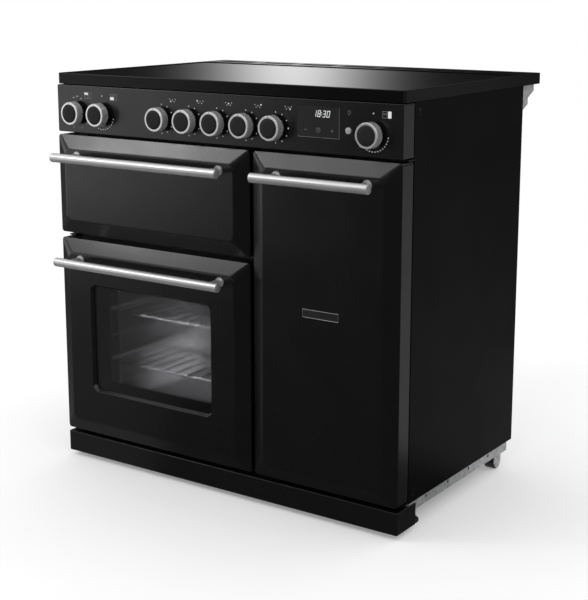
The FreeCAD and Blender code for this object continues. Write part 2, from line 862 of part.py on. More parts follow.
def cavity(door, depth):
    """Enamelled liner of a compartment with a flat front flange."""
    x0, x1, z0, z1 = mouth(door)
    w = cavity_wall
    y1 = carcass_y + depth
    left, right, low, high = flange_edges(door)
    flange = box(left, right, carcass_y, carcass_y + cavity_flange, low, high)
    body = box(x0 - w, x1 + w, carcass_y, y1 + w, z0 - w, z1 + w)
    return flange.fuse(body).cut(box(x0, x1, carcass_y - past, y1, z0, z1))


def seal(door):
    """Soft gasket round the mouth of an oven, just clear of the closed door."""
    x0, x1, z0, z1 = mouth(door)
    inner = seal_margin
    outer = seal_margin + seal_width
    y0 = door_back_y + seal_gap
    ring = slab(x0 - outer, x1 + outer, z0 - outer, z1 + outer, outer, y0, carcass_y)
    return ring.cut(slab(x0 - inner, x1 + inner, z0 - inner, z1 + inner, inner, y0 - past, carcass_y + past))


def rung_z(door, rung):
    return mouth(door)[2] + rack_first + rack_pitch * rung


def side_rack(door, side, rungs):
    """Wire ladder on one wall of an oven; side is -1 left, 1 right."""
    x0, x1, z0, _ = mouth(door)
    wall = x0 if side < 0 else x1
    x_post = wall - side * (wire_radius + rack_gap)
    x_rung = x_post - side * rung_weld * wire_radius
    y0 = carcass_y + shelf_front_gap
    y1 = y0 + shelf_length
    top = rung_z(door, rungs - 1) + rack_first / 2
    inset = rack_post_share * shelf_length
    posts = [(V(x_post, y, z0 + rack_first / 2), V(x_post, y, top), wire_radius)
             for y in (y0 + inset, y1 - inset)]
    heights = [rung_z(door, i) for i in range(rungs)]
    bars = [(V(x_rung, y0, z), V(x_rung, y1, z), wire_radius) for z in heights]
    return wire_net(posts + bars)


def wire_grid(x0, x1, y0, y1, z, count):
    """Rods of a flat wire grid: two side rods, a rod across each end, and the thin bars between these."""
    near_y, far_y = y0 + shelf_edge_radius, y1 - shelf_edge_radius
    rods = [(V(x, y0, z), V(x, y1, z), shelf_edge_radius) for x in (x0, x1)]
    rods += [(V(x0, y, z), V(x1, y, z), wire_radius) for y in (near_y, far_y)]
    pitch = (x1 - x0) / (count + 1)
    places = [x0 + pitch * (i + 1) for i in range(count)]
    return rods + [(V(x, near_y, z), V(x, far_y, z), shelf_bar_radius) for x in places]


def shelf(door, rung):
    """Wire shelf that rests on one rung of both racks."""
    x0, x1, _, _ = mouth(door)
    inset = rack_gap + 2 * wire_radius + shelf_side_gap + shelf_edge_radius
    left, right = x0 + inset, x1 - inset
    y0 = carcass_y + shelf_front_gap
    y1 = y0 + shelf_length
    z = rung_z(door, rung) + wire_radius + rack_gap + shelf_edge_radius
    mid = (y0 + y1) / 2
    stay = (V(left, mid, z), V(right, mid, z), wire_radius)
    return wire_net(wire_grid(left, right, y0, y1, z, shelf_bars) + [stay])


# ---------------------------------------------------------------- fans
def fan_place(door):
    """Centre of the fan on the rear wall of an oven."""
    x0, x1, z0, z1 = mouth(door)
    return V((x0 + x1) / 2, carcass_y + cavity_depth, (z0 + z1) / 2)


def fan_cavity(door):
    """Oven liner with a clearance hole for the fan shaft."""
    c = fan_place(door)
    radius = fan_shaft_radius + fan_shaft_gap
    return cavity(door, cavity_depth).cut(rod(c - V(0, past, 0), c + V(0, cavity_wall + past, 0), radius))


def fan(door):
    """Fan wheel on its shaft."""
    c = fan_place(door)
    y1 = c.y - fan_wall_gap
    plate = rod(V(c.x, y1 - fan_blade_thick, c.z), V(c.x, y1, c.z), fan_radius)
    hub = rod(V(c.x, y1 - fan_width, c.z), V(c.x, y1, c.z), fan_hub_radius)
    shaft = rod(V(c.x, y1, c.z), V(c.x, c.y + cavity_wall + motor_length, c.z), fan_shaft_radius)
    blades = []
    for i in range(fan_blades):
        blade = box(c.x + fan_radius / 2, c.x + fan_radius - fan_blade_thick,
                    y1 - fan_width, y1 - fan_blade_thick / 2,
                    c.z - fan_blade_thick / 2, c.z + fan_blade_thick / 2)
        blades.append(blade.rotated(c, V(0, 1, 0), i * 360 / fan_blades))
    return union([plate, hub, shaft] + blades)


def fan_motor(door):
    c = fan_place(door)
    y0 = c.y + cavity_wall
    y1 = y0 + motor_length
    can = rod(V(c.x, y0, c.z), V(c.x, y1, c.z), motor_radius)
    return can.cut(rod(V(c.x, y0 - past, c.z), V(c.x, y1 + past, c.z), fan_shaft_radius + fan_shaft_run))


def fan_cover(door):
    """Round pressed cover in front of the fan, with radial slots."""
    c = fan_place(door)
    y0 = c.y - fan_cover_depth
    cup = rod(V(c.x, y0, c.z), c, fan_cover_radius)
    cup = cup.makeFillet(2 * fan_cover_wall, flat_edges(cup, y0))
    hollow = rod(V(c.x, y0 + fan_cover_wall, c.z), c + V(0, past, 0), fan_cover_radius - fan_cover_wall)
    front, back = y0 - past, y0 + fan_cover_wall + past
    slots = [rod(V(c.x, front, c.z), V(c.x, back, c.z), fan_hub_radius / 2)]
    for i in range(2 * fan_cover_slots):
        start, end = fan_cover_outer_slot if i % 2 else fan_cover_inner_slot
        slot = box(c.x + start * fan_cover_radius, c.x + end * fan_cover_radius, front, back,
                   c.z - fan_cover_wall, c.z + fan_cover_wall)
        slots.append(slot.rotated(c, V(0, 1, 0), i * 180 / fan_cover_slots))
    return cup.cut(hollow).cut(Part.makeCompound(slots))


def ring_element(door):
    """Heating ring round the fan, on two leads from the rear wall."""
    c = fan_place(door)
    y = c.y - fan_wall_gap - fan_width / 2
    ring = Part.makeTorus(ring_element_radius, ring_tube_radius, V(c.x, y, c.z), V(0, 1, 0))
    lead_x = 2 * ring_tube_radius
    lead_z = c.z + ring_element_radius - ring_tube_radius / 2
    leads = [rod(V(c.x + x, y, lead_z), V(c.x + x, c.y, lead_z), ring_lead_radius) for x in (-lead_x, lead_x)]
    return union([ring] + leads)


def oven_lamp(door):
    """Lamp glass high on the rear wall."""
    x0, _, _, z1 = mouth(door)
    c = V(x0 + 3 * lamp_radius, carcass_y + cavity_depth, z1 - 2 * lamp_radius)
    glass = rod(c - V(0, lamp_proud, 0), c, lamp_radius)
    return glass.makeFillet(lamp_proud / 2, flat_edges(glass, c.y - lamp_proud))


# ---------------------------------------------------------------- grill
def pan_box():
    """Inner extents of the grill pan: x0, x1, y0, y1, z0, z1."""
    x0, x1, z0, _ = mouth(grill_door)
    y0 = carcass_y + pan_front_gap
    return x0 + pan_side_gap, x1 - pan_side_gap, y0, y0 + pan_depth, z0 + pan_rise, z0 + pan_rise + pan_height


def grill_pan():
    """Enamelled tray with an outward lip that rides on the runners."""
    x0, x1, y0, y1, z0, z1 = pan_box()
    tub = box(x0, x1, y0, y1, z0, z1)
    upright = [e for e in tub.Edges if e.BoundBox.ZLength > pan_height / 2]
    tub = tub.makeFillet(pan_corner, upright)
    lip = box(x0 - pan_lip, x1 + pan_lip, y0, y1, z1 - pan_wall, z1)
    hollow = box(x0 + pan_wall, x1 - pan_wall, y0 + pan_wall, y1 - pan_wall, z0 + pan_wall, z1 + past)
    upright = [e for e in hollow.Edges if e.BoundBox.ZLength > pan_height / 2]
    return tub.fuse(lip).cut(hollow.makeFillet(pan_corner - pan_wall, upright))


def pan_trivet():
    """Wire grid inside the pan, on its own low feet."""
    x0, x1, y0, y1, z0, _ = pan_box()
    inset = pan_corner
    left, right, front, rear = x0 + inset, x1 - inset, y0 + inset, y1 - inset
    z = z0 + pan_wall + trivet_rise
    pitch = (right - left) / (trivet_bars + 1)
    feet = [(V(x, y, z0 + pan_wall), V(x, y, z), shelf_bar_radius)
            for x in (left + pitch / 2, right - pitch / 2)
            for y in (front + shelf_edge_radius, rear - shelf_edge_radius)]
    return wire_net(wire_grid(left, right, front, rear, z, trivet_bars) + feet)


def pan_runner(side):
    """Angle on the grill compartment wall that carries the pan's lip."""
    wall = mouth(grill_door)[0 if side < 0 else 1]
    x0, x1, y0, y1, _, z1 = pan_box()
    tip = x0 - runner_tip_gap if side < 0 else x1 + runner_tip_gap
    top = z1 - pan_wall - rack_gap
    shelf_x = sorted((wall, tip))
    web_x = sorted((wall, wall - side * runner_thick))
    ledge = box(shelf_x[0], shelf_x[1], y0, y1, top - runner_thick, top)
    web = box(web_x[0], web_x[1], y0, y1, top - pan_height / 2, top)
    return ledge.fuse(web)


def grill_element():
    """Serpentine heating rod under the roof of the grill compartment."""
    x0, x1, _, z1 = mouth(grill_door)
    left, right = x0 + 2 * pan_side_gap, x1 - 2 * pan_side_gap
    z = z1 - grill_element_drop
    wall = carcass_y + grill_cavity_depth
    pitch = (pan_depth - pan_front_gap) / grill_element_rows
    points = [V(left, wall, z)]
    for row in range(grill_element_rows):
        y = carcass_y + 2 * pan_front_gap + pitch * row
        inner = left if row == 0 else left + pitch
        ends = (inner, right) if row % 2 == 0 else (right, inner)
        points += [V(x, y, z) for x in ends]
    points.append(V(right, wall, z))
    return tube(points, grill_element_bend, grill_element_radius)


def power_board(side):
    """Induction power board hung under the hob tray."""
    x = side * half / 2
    y = face_y + hob_depth / 2
    top = frame_bottom
    return box(x - board_width / 2, x + board_width / 2, y, y + board_depth, top - board_thick, top)


# ---------------------------------------------------------------- the three doors: x0, x1, z0, z1
grill_door = (-half, left_door_right, grill_door_bottom, door_top)
main_door = (-half, left_door_right, door_bottom, main_door_top)
tall_door = (tall_door_left, half, door_bottom, door_top)
window_x0 = (left_door_right - half - window_width) / 2
window_x1 = window_x0 + window_width
window_z0 = door_bottom + window_raise
window_z1 = window_z0 + window_height

sides = (-1, 1)
ovens = (main_door, tall_door)

save("side_panel_left", side_panel(-1))
save("side_panel_right", side_panel(1))
save("back_panel", back_panel())
save("base_frame", *[base_rail(s) for s in sides],
     base_cross(carcass_y + panel_turn), base_cross(carcass_back_y - cross_depth))
save("plinth", plinth())
save("front_feet", *[foot(s) for s in sides])
save("roller_brackets", *[roller_bracket(s) for s in sides])
save("rear_roller_left", roller(-1))
save("rear_roller_right", roller(1))
save("terminal_box", terminal_box())

save("hob_frame", hob_frame())
save("hob_glass", hob_glass())
save("hob_tray", hob_tray())
save("hob_brackets", *[hob_bracket(s) for s in sides])
save("induction_coils", *induction_coils())
save("power_boards", *[power_board(s) for s in sides])
save("vent_grille", vent_grille())

save("control_fascia", control_fascia())
save("fascia_chassis", fascia_chassis())
save("rotary_switches", *[rotary_switch(x) for _, x in knob_centres()])
save("clock_module", clock_module())
save("clock_window", clock_slab(face_y, face_y + clock_glass, 0))
save("light_button", light_button())
for knob_name, knob_x in knob_centres():
    save(knob_name, knob(knob_x))

save("grill_door_panel", grill_door_panel())
save("grill_door_liner", grill_door_liner())
save("grill_door_handle", door_handle(grill_door[0], grill_door[1], grill_door[3]))
save("main_door_panel", main_door_panel())
save("main_door_window", main_door_window())
save("main_door_liner", side_door_liner(main_door, -1).cut(
    window_slab(-inner_window_inset, door_back_y - liner_thick - past, door_back_y + past)))
save("main_door_inner_glass", main_door_inner_glass())
save("main_door_handle", door_handle(main_door[0], main_door[1], main_door[3]))
save("tall_door_panel", side_door_panel(tall_door, 1))
save("tall_door_liner", side_door_liner(tall_door, 1))
save("tall_door_handle", door_handle(tall_door[0], tall_door[1], tall_door[3]))
save("door_hinges", *drop_hinges(), *side_hinges(main_door, -1), *side_hinges(tall_door, 1))
save("door_seals", *[seal(door) for door in ovens])

save("grill_cavity", cavity(grill_door, grill_cavity_depth))
save("grill_element", grill_element())
save("pan_runners", *[pan_runner(s) for s in sides])
save("grill_pan", grill_pan())
save("pan_trivet", pan_trivet())
save("main_oven_cavity", fan_cavity(main_door))
save("tall_oven_cavity", fan_cavity(tall_door))
save("oven_side_racks", *[side_rack(main_door, s, rack_rungs) for s in sides],
     *[side_rack(tall_door, s, tall_rack_rungs) for s in sides])
save("main_oven_shelves", *[shelf(main_door, rung) for rung in main_shelf_rungs])
save("tall_oven_shelves", *[shelf(tall_door, rung) for rung in tall_shelf_rungs])
save("fan_covers", *[fan_cover(door) for door in ovens])
save("ring_elements", *[ring_element(door) for door in ovens])
save("fan_motors", *[fan_motor(door) for door in ovens])
save("oven_lamps", *[oven_lamp(door) for door in ovens])
save("main_oven_fan", fan(main_door))
save("tall_oven_fan", fan(tall_door))
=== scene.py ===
"""Looks of a range cooker with two ovens: materials, printed marks, small fittings and the studio."""
import math

import bmesh
import bpy
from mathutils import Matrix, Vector

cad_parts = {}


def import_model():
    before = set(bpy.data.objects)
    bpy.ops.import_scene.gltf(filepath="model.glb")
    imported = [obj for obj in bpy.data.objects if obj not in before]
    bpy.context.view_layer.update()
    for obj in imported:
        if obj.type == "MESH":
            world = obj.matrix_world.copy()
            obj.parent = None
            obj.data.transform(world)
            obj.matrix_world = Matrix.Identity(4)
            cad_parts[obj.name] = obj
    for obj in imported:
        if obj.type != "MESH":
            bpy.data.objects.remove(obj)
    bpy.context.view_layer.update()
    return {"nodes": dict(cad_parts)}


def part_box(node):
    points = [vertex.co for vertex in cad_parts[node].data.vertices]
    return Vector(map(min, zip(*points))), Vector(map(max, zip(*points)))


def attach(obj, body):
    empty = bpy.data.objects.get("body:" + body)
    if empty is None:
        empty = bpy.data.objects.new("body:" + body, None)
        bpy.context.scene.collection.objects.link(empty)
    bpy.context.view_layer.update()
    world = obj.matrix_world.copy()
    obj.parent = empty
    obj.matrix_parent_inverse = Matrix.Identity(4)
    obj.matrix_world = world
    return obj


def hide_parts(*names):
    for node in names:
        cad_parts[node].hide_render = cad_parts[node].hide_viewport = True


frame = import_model()

MM = 0.001
ALONG_X, ALONG_Y, ALONG_Z = range(3)
FORWARDS = (0, -1, 0)
BACKWARDS = (0, 1, 0)


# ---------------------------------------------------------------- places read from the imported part
def centre(node):
    """Middle of a piece's box."""
    low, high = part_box(node)
    return (low + high) / 2


HOB_ZONES = 5
HOB_KNOBS = ["knob_hob_zone_%d" % (i + 1) for i in range(HOB_ZONES)]
KNOBS = ["knob_grill_function", "knob_main_oven", *HOB_KNOBS, "knob_tall_oven"]
KNOB_LOW, KNOB_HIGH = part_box("knob_tall_oven")
KNOB_RADIUS = (KNOB_HIGH.x - KNOB_LOW.x) / 2
DIAL_Z = centre("knob_tall_oven").z
FASCIA_LOW, FASCIA_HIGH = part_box("control_fascia")
FACE_Y = FASCIA_LOW.y
CLOCK_LOW, CLOCK_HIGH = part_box("clock_window")


# ---------------------------------------------------------------- material helpers
# Most of the noise lies between these two.
NOISE_LOW, NOISE_HIGH = 0.3, 0.7


class Surface:
    """A new material: its Principled shader, and short calls that hang texture nodes on it."""

    def __init__(self, name, colour, roughness, metallic=0.0, **sockets):
        self.material = bpy.data.materials.new(name)
        self.material.use_nodes = True
        self.tree = self.material.node_tree
        self.shader = self.tree.nodes["Principled BSDF"]
        self.place = self.add("ShaderNodeTexCoord").outputs["Object"]
        self.wire(Base_Color=(*colour, 1.0), Roughness=roughness, Metallic=metallic, **sockets)

    def set(self, node, values):
        """Gives inputs of a node, by name or number, a plain value or a link from a socket."""
        for key, value in values.items():
            if isinstance(value, bpy.types.NodeSocket):
                self.tree.links.new(value, node.inputs[key])
            else:
                node.inputs[key].default_value = value

    def add(self, kind, **inputs):
        """New node with its inputs set."""
        node = self.tree.nodes.new(kind)
        self.set(node, inputs)
        return node

    def wire(self, **inputs):
        """Sets inputs of the Principled shader; an underscore stands for a space in their names."""
        self.set(self.shader, {name.replace("_", " "): value for name, value in inputs.items()})

    def stretched(self, scale, origin=(0, 0, 0)):
        """Place in metres, moved so that origin is zero, and multiplied by scale."""
        mapping = self.add("ShaderNodeMapping", Vector=self.place)
        moved = [-c * s for c, s in zip(origin, scale)]
        self.set(mapping, {"Scale": scale, "Location": moved})
        return mapping.outputs["Vector"]

    def noise(self, scale, detail=2.0, vector=None):
        """Noise round 0.5, with features of about 1 / scale metres."""
        node = self.add("ShaderNodeTexNoise", Vector=vector or self.place, Scale=scale, Detail=detail)
        return node.outputs["Fac"]

    def ramp(self, value, low, high, from_low=NOISE_LOW, from_high=NOISE_HIGH, shape="LINEAR"):
        """A number that goes from low to high as the value goes from from_low to from_high."""
        node = self.add("ShaderNodeMapRange", Value=value)
        node.interpolation_type = shape
        self.set(node, {"From Min": from_low, "From Max": from_high, "To Min": low, "To Max": high})
        return node.outputs["Result"]

    def clouds(self, low, high, scale, detail=2.0):
        """A number that wanders between low and high."""
        return self.ramp(self.noise(scale, detail), low, high)

    def specks(self, scale, detail, start, full):
        """1 on the specks where the noise is above full, and 0 where it is below start."""
        return self.ramp(self.noise(scale, detail), 0.0, 1.0, start, full)

    def blend(self, value, first, second):
        """A colour between first and second, by a value from 0 to 1."""
        node = self.tree.nodes.new("ShaderNodeMix")
        node.data_type = "RGBA"
        self.set(node, {"Factor": value, "A": (*first, 1.0), "B": (*second, 1.0)})
        return node.outputs["Result"]

    def bump(self, height, distance, strength):
        """A surface normal that follows a height from 0 to 1."""
        node = self.add("ShaderNodeBump", Height=height, Distance=distance, Strength=strength)
        return node.outputs["Normal"]

    def grain(self, scale, detail, distance, strength):
        """A surface normal with noisy grain."""
        return self.bump(self.noise(scale, detail), distance, strength)

    def maths(self, kind, *values):
        """Result of a sum on numbers or sockets."""
        node = self.tree.nodes.new("ShaderNodeMath")
        node.operation = kind
        self.set(node, dict(enumerate(values)))
        return node.outputs["Value"]

    def vectors(self, kind, *values):
        """Outputs of a sum on vectors: Value for a number and Vector for a vector."""
        node = self.tree.nodes.new("ShaderNodeVectorMath")
        node.operation = kind
        self.set(node, dict(enumerate(values)))
        return node.outputs

    def show(self, share, first, second):
        """Makes the material the first shader where share is 0, and the second where it is 1."""
        mixed = self.add("ShaderNodeMixShader", Fac=share)
        self.set(mixed, {1: first.outputs[0], 2: second.outputs[0]})
        self.set(self.tree.nodes["Material Output"], {"Surface": mixed.outputs[0]})


def dress(names, surface):
    """Gives CAD nodes the material in all their slots."""
    for name in names:
        slots = frame["nodes"][name].data.materials
        for i in range(len(slots)):
            slots[i] = surface.material
        if not slots:
            slots.append(surface.material)


# ---------------------------------------------------------------- materials
def black_enamel(name, roughness=0.27, shine=0.5, coat=0.12):
    """Satin stoved enamel: faint orange peel, cloudy gloss, a trace of dust."""
    black = (0.003, 0.003, 0.00315)
    dusty = (0.0066,) * 3
    s = Surface(name, black, roughness, Specular_IOR_Level=shine, Coat_Weight=coat, Coat_Roughness=0.12)
    dust = s.specks(scale=2600.0, detail=2.0, start=0.62, full=0.8)
    s.wire(Base_Color=s.blend(dust, black, dusty),
           Roughness=s.clouds(roughness - 0.04, roughness + 0.05, scale=7.0, detail=4.0),
           Normal=s.grain(scale=520.0, detail=1.0, distance=0.04 * MM, strength=0.35))
    return s


def hob_glass():
    """Polished ceramic glass with a fine fleck and a trace of wiping."""
    black = (0.004, 0.004, 0.0045)
    flecked = (0.03, 0.03, 0.032)
    s = Surface("hob_ceramic_glass", black, roughness=0.05, IOR=1.52)
    fleck = s.specks(scale=1900.0, detail=1.0, start=0.66, full=0.76)
    wiping = s.noise(scale=3.0, detail=3.0, vector=s.stretched((1.0, 6.0, 1.0)))
    s.wire(Base_Color=s.blend(fleck, black, flecked), Roughness=s.ramp(wiping, low=0.035, high=0.075))
    return s


def window_glass():
    """Tinted, lightly diffusing oven glass; light also passes straight through it to the oven behind."""
    s = Surface("oven_window_glass", (0.75, 0.75, 0.76), roughness=0.02, IOR=1.5,
                Transmission_Weight=1.0, Specular_IOR_Level=0.2)
    s.wire(Roughness=s.clouds(0.09, 0.11, scale=5.0, detail=3.0))
    path = s.add("ShaderNodeLightPath").outputs
    lighting = s.maths("MAXIMUM", path["Is Shadow Ray"], path["Is Diffuse Ray"])
    s.show(lighting, s.shader, s.add("ShaderNodeBsdfTransparent", Color=(0.3, 0.3, 0.31, 1.0)))
    return s


def display_glass():
    """Black glass of the timer display."""
    s = Surface("display_glass", (0.014, 0.014, 0.0145), roughness=0.12, Coat_Weight=0.5,
                Coat_Roughness=0.03)
    s.wire(Roughness=s.clouds(0.08, 0.16, scale=20.0, detail=3.0))
    return s


def brushed_steel(name, along, colour, roughness, metallic=1.0):
    """Brushed steel: fine streaks along one axis."""
    s = Surface(name, colour, roughness, metallic)
    across_scale, along_scale = 2400.0, 9.0
    scale = [across_scale] * 3
    scale[along] = along_scale
    streaks = s.noise(scale=1.0, detail=3.0, vector=s.stretched(scale))
    darker = [c * 0.86 for c in colour]
    s.wire(Base_Color=s.blend(streaks, darker, colour),
           Roughness=s.clouds(roughness - 0.05, roughness + 0.07, scale=14.0),
           Normal=s.bump(streaks, distance=0.01 * MM, strength=0.3))
    return s


def turned_metal(name, middle):
    """Metal turned round an axis along Y through the given point: fine rings, as on a knob."""
    s = Surface(name, (0.7, 0.7, 0.71), roughness=0.3, metallic=0.75)
    radius = s.vectors("LENGTH", s.stretched((1.0, 0.0, 1.0), middle))["Value"]
    ring_noise = s.add("ShaderNodeTexNoise", Scale=5200.0, Detail=2.0)
    ring_noise.noise_dimensions = "1D"
    s.set(ring_noise, {"W": radius})
    rings = ring_noise.outputs["Fac"]
    grooves = s.noise(scale=1.0, vector=s.stretched((0.0, 3800.0, 0.0)))
    s.wire(Base_Color=s.blend(rings, (0.62, 0.62, 0.63), (0.8, 0.8, 0.8)),
           Roughness=s.clouds(0.24, 0.34, scale=60.0),
           Normal=s.bump(s.maths("ADD", rings, grooves), distance=0.01 * MM, strength=0.3))
    return s


def galvanised():
    """Zinc coated sheet with spangle and dull patches."""
    s = Surface("zinc_sheet", (0.55, 0.56, 0.57), roughness=0.42, metallic=0.6)
    cells = s.add("ShaderNodeTexVoronoi", Vector=s.place, Scale=130.0).outputs["Color"]
    s.wire(Base_Color=s.blend(cells, (0.42, 0.43, 0.44), (0.64, 0.65, 0.66)),
           Roughness=s.clouds(0.34, 0.55, scale=9.0, detail=4.0),
           Normal=s.grain(scale=300.0, detail=2.0, distance=0.04 * MM, strength=0.5))
    return s


def cavity_enamel():
    """Satin vitreous enamel with fine pale speckle."""
    dark = (0.05, 0.05, 0.052)
    speckled = (0.3, 0.3, 0.32)
    s = Surface("oven_vitreous_enamel", dark, roughness=0.43)
    speck = s.specks(scale=1500.0, detail=0.5, start=0.68, full=0.72)
    s.wire(Base_Color=s.blend(speck, dark, speckled),
           Roughness=s.clouds(0.36, 0.5, scale=12.0, detail=3.0),
           Normal=s.grain(scale=60.0, detail=2.0, distance=0.05 * MM, strength=0.3))
    return s


def bright_wire():
    """Chrome plated wire with faint drawing marks."""
    s = Surface("chromed_wire", (0.72, 0.72, 0.73), roughness=0.2, metallic=1.0)
    s.wire(Roughness=s.clouds(0.15, 0.3, scale=160.0, detail=3.0),
           Normal=s.grain(scale=900.0, detail=1.0, distance=0.03 * MM, strength=0.4))
    return s


def moulded(name, colour, roughness, **sockets):
    """Moulded plastic or rubber with a fine grain."""
    s = Surface(name, colour, roughness, **sockets)
    lighter = [min(1.0, c * 1.35 + 0.004) for c in colour]
    s.wire(Base_Color=s.blend(s.noise(scale=40.0, detail=3.0), colour, lighter),
           Roughness=s.clouds(roughness - 0.07, roughness + 0.07, scale=90.0),
           Normal=s.grain(scale=1400.0, detail=2.0, distance=0.05 * MM, strength=0.5))
    return s


def wound_copper():
    """Spiral of enamelled copper litz under the glass."""
    s = Surface("coil_copper", (0.45, 0.19, 0.08), roughness=0.4, metallic=0.8)
    strands = s.noise(scale=800.0)
    s.wire(Base_Color=s.blend(strands, (0.3, 0.11, 0.05), (0.58, 0.27, 0.12)),
           Roughness=s.ramp(strands, low=0.32, high=0.5),
           Normal=s.bump(strands, distance=0.3 * MM, strength=0.6))
    return s


def lamp_glass():
    """Frosted glass of the oven lamps."""
    s = Surface("lamp_frosted_glass", (0.85, 0.85, 0.82), roughness=0.25, Transmission_Weight=0.7)
    s.wire(Roughness=s.clouds(0.2, 0.4, scale=200.0),
           Normal=s.grain(scale=350.0, detail=2.0, distance=0.2 * MM, strength=0.5))
    return s


def printed(name, level, glow=0.0):
    """Pale screen-printed ink, slightly uneven."""
    s = Surface(name, (level,) * 3, roughness=0.5, Emission_Strength=glow,
                Emission_Color=(0.9, 0.95, 1.0, 1.0))
    s.wire(Base_Color=s.blend(s.noise(scale=900.0), (level * 0.8,) * 3, (level,) * 3),
           Roughness=s.clouds(0.45, 0.6, scale=300.0, detail=1.0))
    return s


enamel = black_enamel("enamel_black")
rim_enamel = black_enamel("enamel_black_rim", roughness=0.2, shine=0.06)
panel_enamel = black_enamel("enamel_black_panel", roughness=0.34, shine=0.05, coat=0.0)
steel_bar = brushed_steel("brushed_steel_bar", ALONG_X, (0.66,) * 3, roughness=0.36, metallic=0.8)
steel_face = brushed_steel("brushed_steel_face", ALONG_Z, (0.5,) * 3, roughness=0.34)
# Darker steel for the caps in the handle bar ends: painted shade on the end faces.
end_steel_painted_shade = brushed_steel("bar_end_painted_shade_steel", ALONG_Y, (0.3,) * 3, roughness=0.45, metallic=0.45)
blackened = brushed_steel("blackened_steel", ALONG_Y, (0.05, 0.05, 0.052), roughness=0.35)
motor_metal = brushed_steel("motor_case_steel", ALONG_Y, (0.5, 0.5, 0.52), roughness=0.4)
rubber = moulded("gasket_rubber", (0.02, 0.02, 0.021), roughness=0.7)
black_plastic = moulded("black_moulded_plastic", (0.006, 0.006, 0.0065), roughness=0.45)
cap_plastic = moulded("knob_cap_plastic", (0.007, 0.007, 0.0075), roughness=0.6, Specular_IOR_Level=0.25)
element_metal = moulded("oxidised_element_metal", (0.09, 0.085, 0.08), roughness=0.5)
zinc = galvanised()
oven_liner = cavity_enamel()
white_ink = printed("ink_white", level=0.85)
grey_ink = printed("ink_grey", level=0.2)
pale_ink = printed("ink_pale", level=0.5)
lit_ink = printed("display_white", level=0.8, glow=0.6)

dress(["hob_frame", "vent_grille"], rim_enamel)
dress(["side_panel_left", "side_panel_right"], panel_enamel)
dress(["control_fascia", "plinth", "grill_door_panel", "main_door_panel", "tall_door_panel"], enamel)
dress(["grill_door_liner", "main_door_liner", "tall_door_liner"], enamel)
dress(["hob_glass"], hob_glass())
dress(["clock_window"], display_glass())
dress(["main_door_window", "main_door_inner_glass"], window_glass())
dress(["grill_door_handle", "main_door_handle", "tall_door_handle"], steel_bar)
dress(["grill_cavity", "main_oven_cavity", "tall_oven_cavity", "fan_covers", "grill_pan"], oven_liner)
dress(["main_oven_shelves", "tall_oven_shelves", "oven_side_racks", "pan_trivet"], bright_wire())
dress(["door_seals"], rubber)
dress(["back_panel", "base_frame", "hob_brackets", "hob_tray", "roller_brackets", "pan_runners"], zinc)
dress(["fascia_chassis", "door_hinges"], blackened)
dress(["terminal_box", "rotary_switches", "front_feet", "clock_module", "power_boards"], black_plastic)
dress(["rear_roller_left", "rear_roller_right"], black_plastic)
dress(["fan_motors", "main_oven_fan", "tall_oven_fan"], motor_metal)
dress(["grill_element", "ring_elements"], element_metal)
dress(["induction_coils"], wound_copper())
dress(["oven_lamps"], lamp_glass())
dress(["light_button"], turned_metal("button_metal", centre("light_button")))
for knob in KNOBS:
    dress([knob], turned_metal("turned_" + knob, centre(knob)))


# ---------------------------------------------------------------- mesh helpers
def mesh_of(bm, name):
    """New mesh from a bmesh, which is freed."""
    mesh = bpy.data.meshes.new(name)
    bm.to_mesh(mesh)
    bm.free()
    return mesh


def added(name, data):
    """New object in the scene."""
    obj = bpy.data.objects.new(name, data)
    bpy.context.scene.collection.objects.link(obj)
    return obj


def piece(name, build, surface, body, smooth=True):
    """New piece, made in a bmesh by the function build, riding on a body."""
    bm = bmesh.new()
    build(bm)
    bmesh.ops.recalc_face_normals(bm, faces=bm.faces)
    mesh = mesh_of(bm, name)
    mesh.materials.append(surface.material)
    if smooth:
        mesh.shade_smooth()
    else:
        mesh.shade_flat()
    obj = added(name, mesh)
    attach(obj, body)


def turned(bm, profile, middle, axis, steps=64):
    """Adds a solid of revolution: profile is (radius, height) pairs along the axis from middle."""
    turn = Vector((0, 0, 1)).rotation_difference(Vector(axis)).to_matrix()
    rings = []
    for radius, height in profile:
        angles = [2 * math.pi * i / steps for i in range(steps if radius else 1)]
        points = [Vector((radius * math.cos(a), radius * math.sin(a), height)) for a in angles]
        rings.append([bm.verts.new(Vector(middle) + turn @ point) for point in points])
    for low, high in zip(rings, rings[1:]):
        for i in range(steps):
            j = (i + 1) % steps
            corners = [low[i % len(low)], low[j % len(low)], high[j % len(high)], high[i % len(high)]]
            bm.faces.new(list(dict.fromkeys(corners)))
    for end in (rings[0], rings[-1]):
        if len(end) > 2:
            bm.faces.new(end)


def flat_plate(bm, outline, y, thick):
    """Adds a thin plate from an outline of (x, z) points, facing -Y at y, thick towards +Y."""
    front = [bm.verts.new((x, y, z)) for x, z in outline]
    rear = [bm.verts.new((x, y + thick, z)) for x, z in outline]
    bm.faces.new(front)
    bm.faces.new(list(reversed(rear)))
    for i in range(len(outline)):
        j = (i + 1) % len(outline)
        bm.faces.new((front[i], rear[i], rear[j], front[j]))


def ring_plate(bm, outer, inner, y, thick):
    """Adds a flat ring between two outlines of the same number of points."""
    corners = ((outer, y), (inner, y), (inner, y + thick), (outer, y + thick))
    loops = [[bm.verts.new((x, at, z)) for x, z in outline] for outline, at in corners]
    count = len(outer)
    for first, second in zip(loops, loops[1:] + loops[:1]):
        for i in range(count):
            j = (i + 1) % count
            bm.faces.new((first[i], first[j], second[j], second[i]))


# ---------------------------------------------------------------- outlines of flat shapes
def around(x, z, radius, degrees):
    """Point on a circle; 0 degrees is to the right, and they count anticlockwise."""
    angle = math.radians(degrees)
    return (x + radius * math.cos(angle), z + radius * math.sin(angle))


def disc(x, z, radius, steps=20):
    """Outline of a round dot."""
    return [around(x, z, radius, 360 * i / steps) for i in range(steps)]


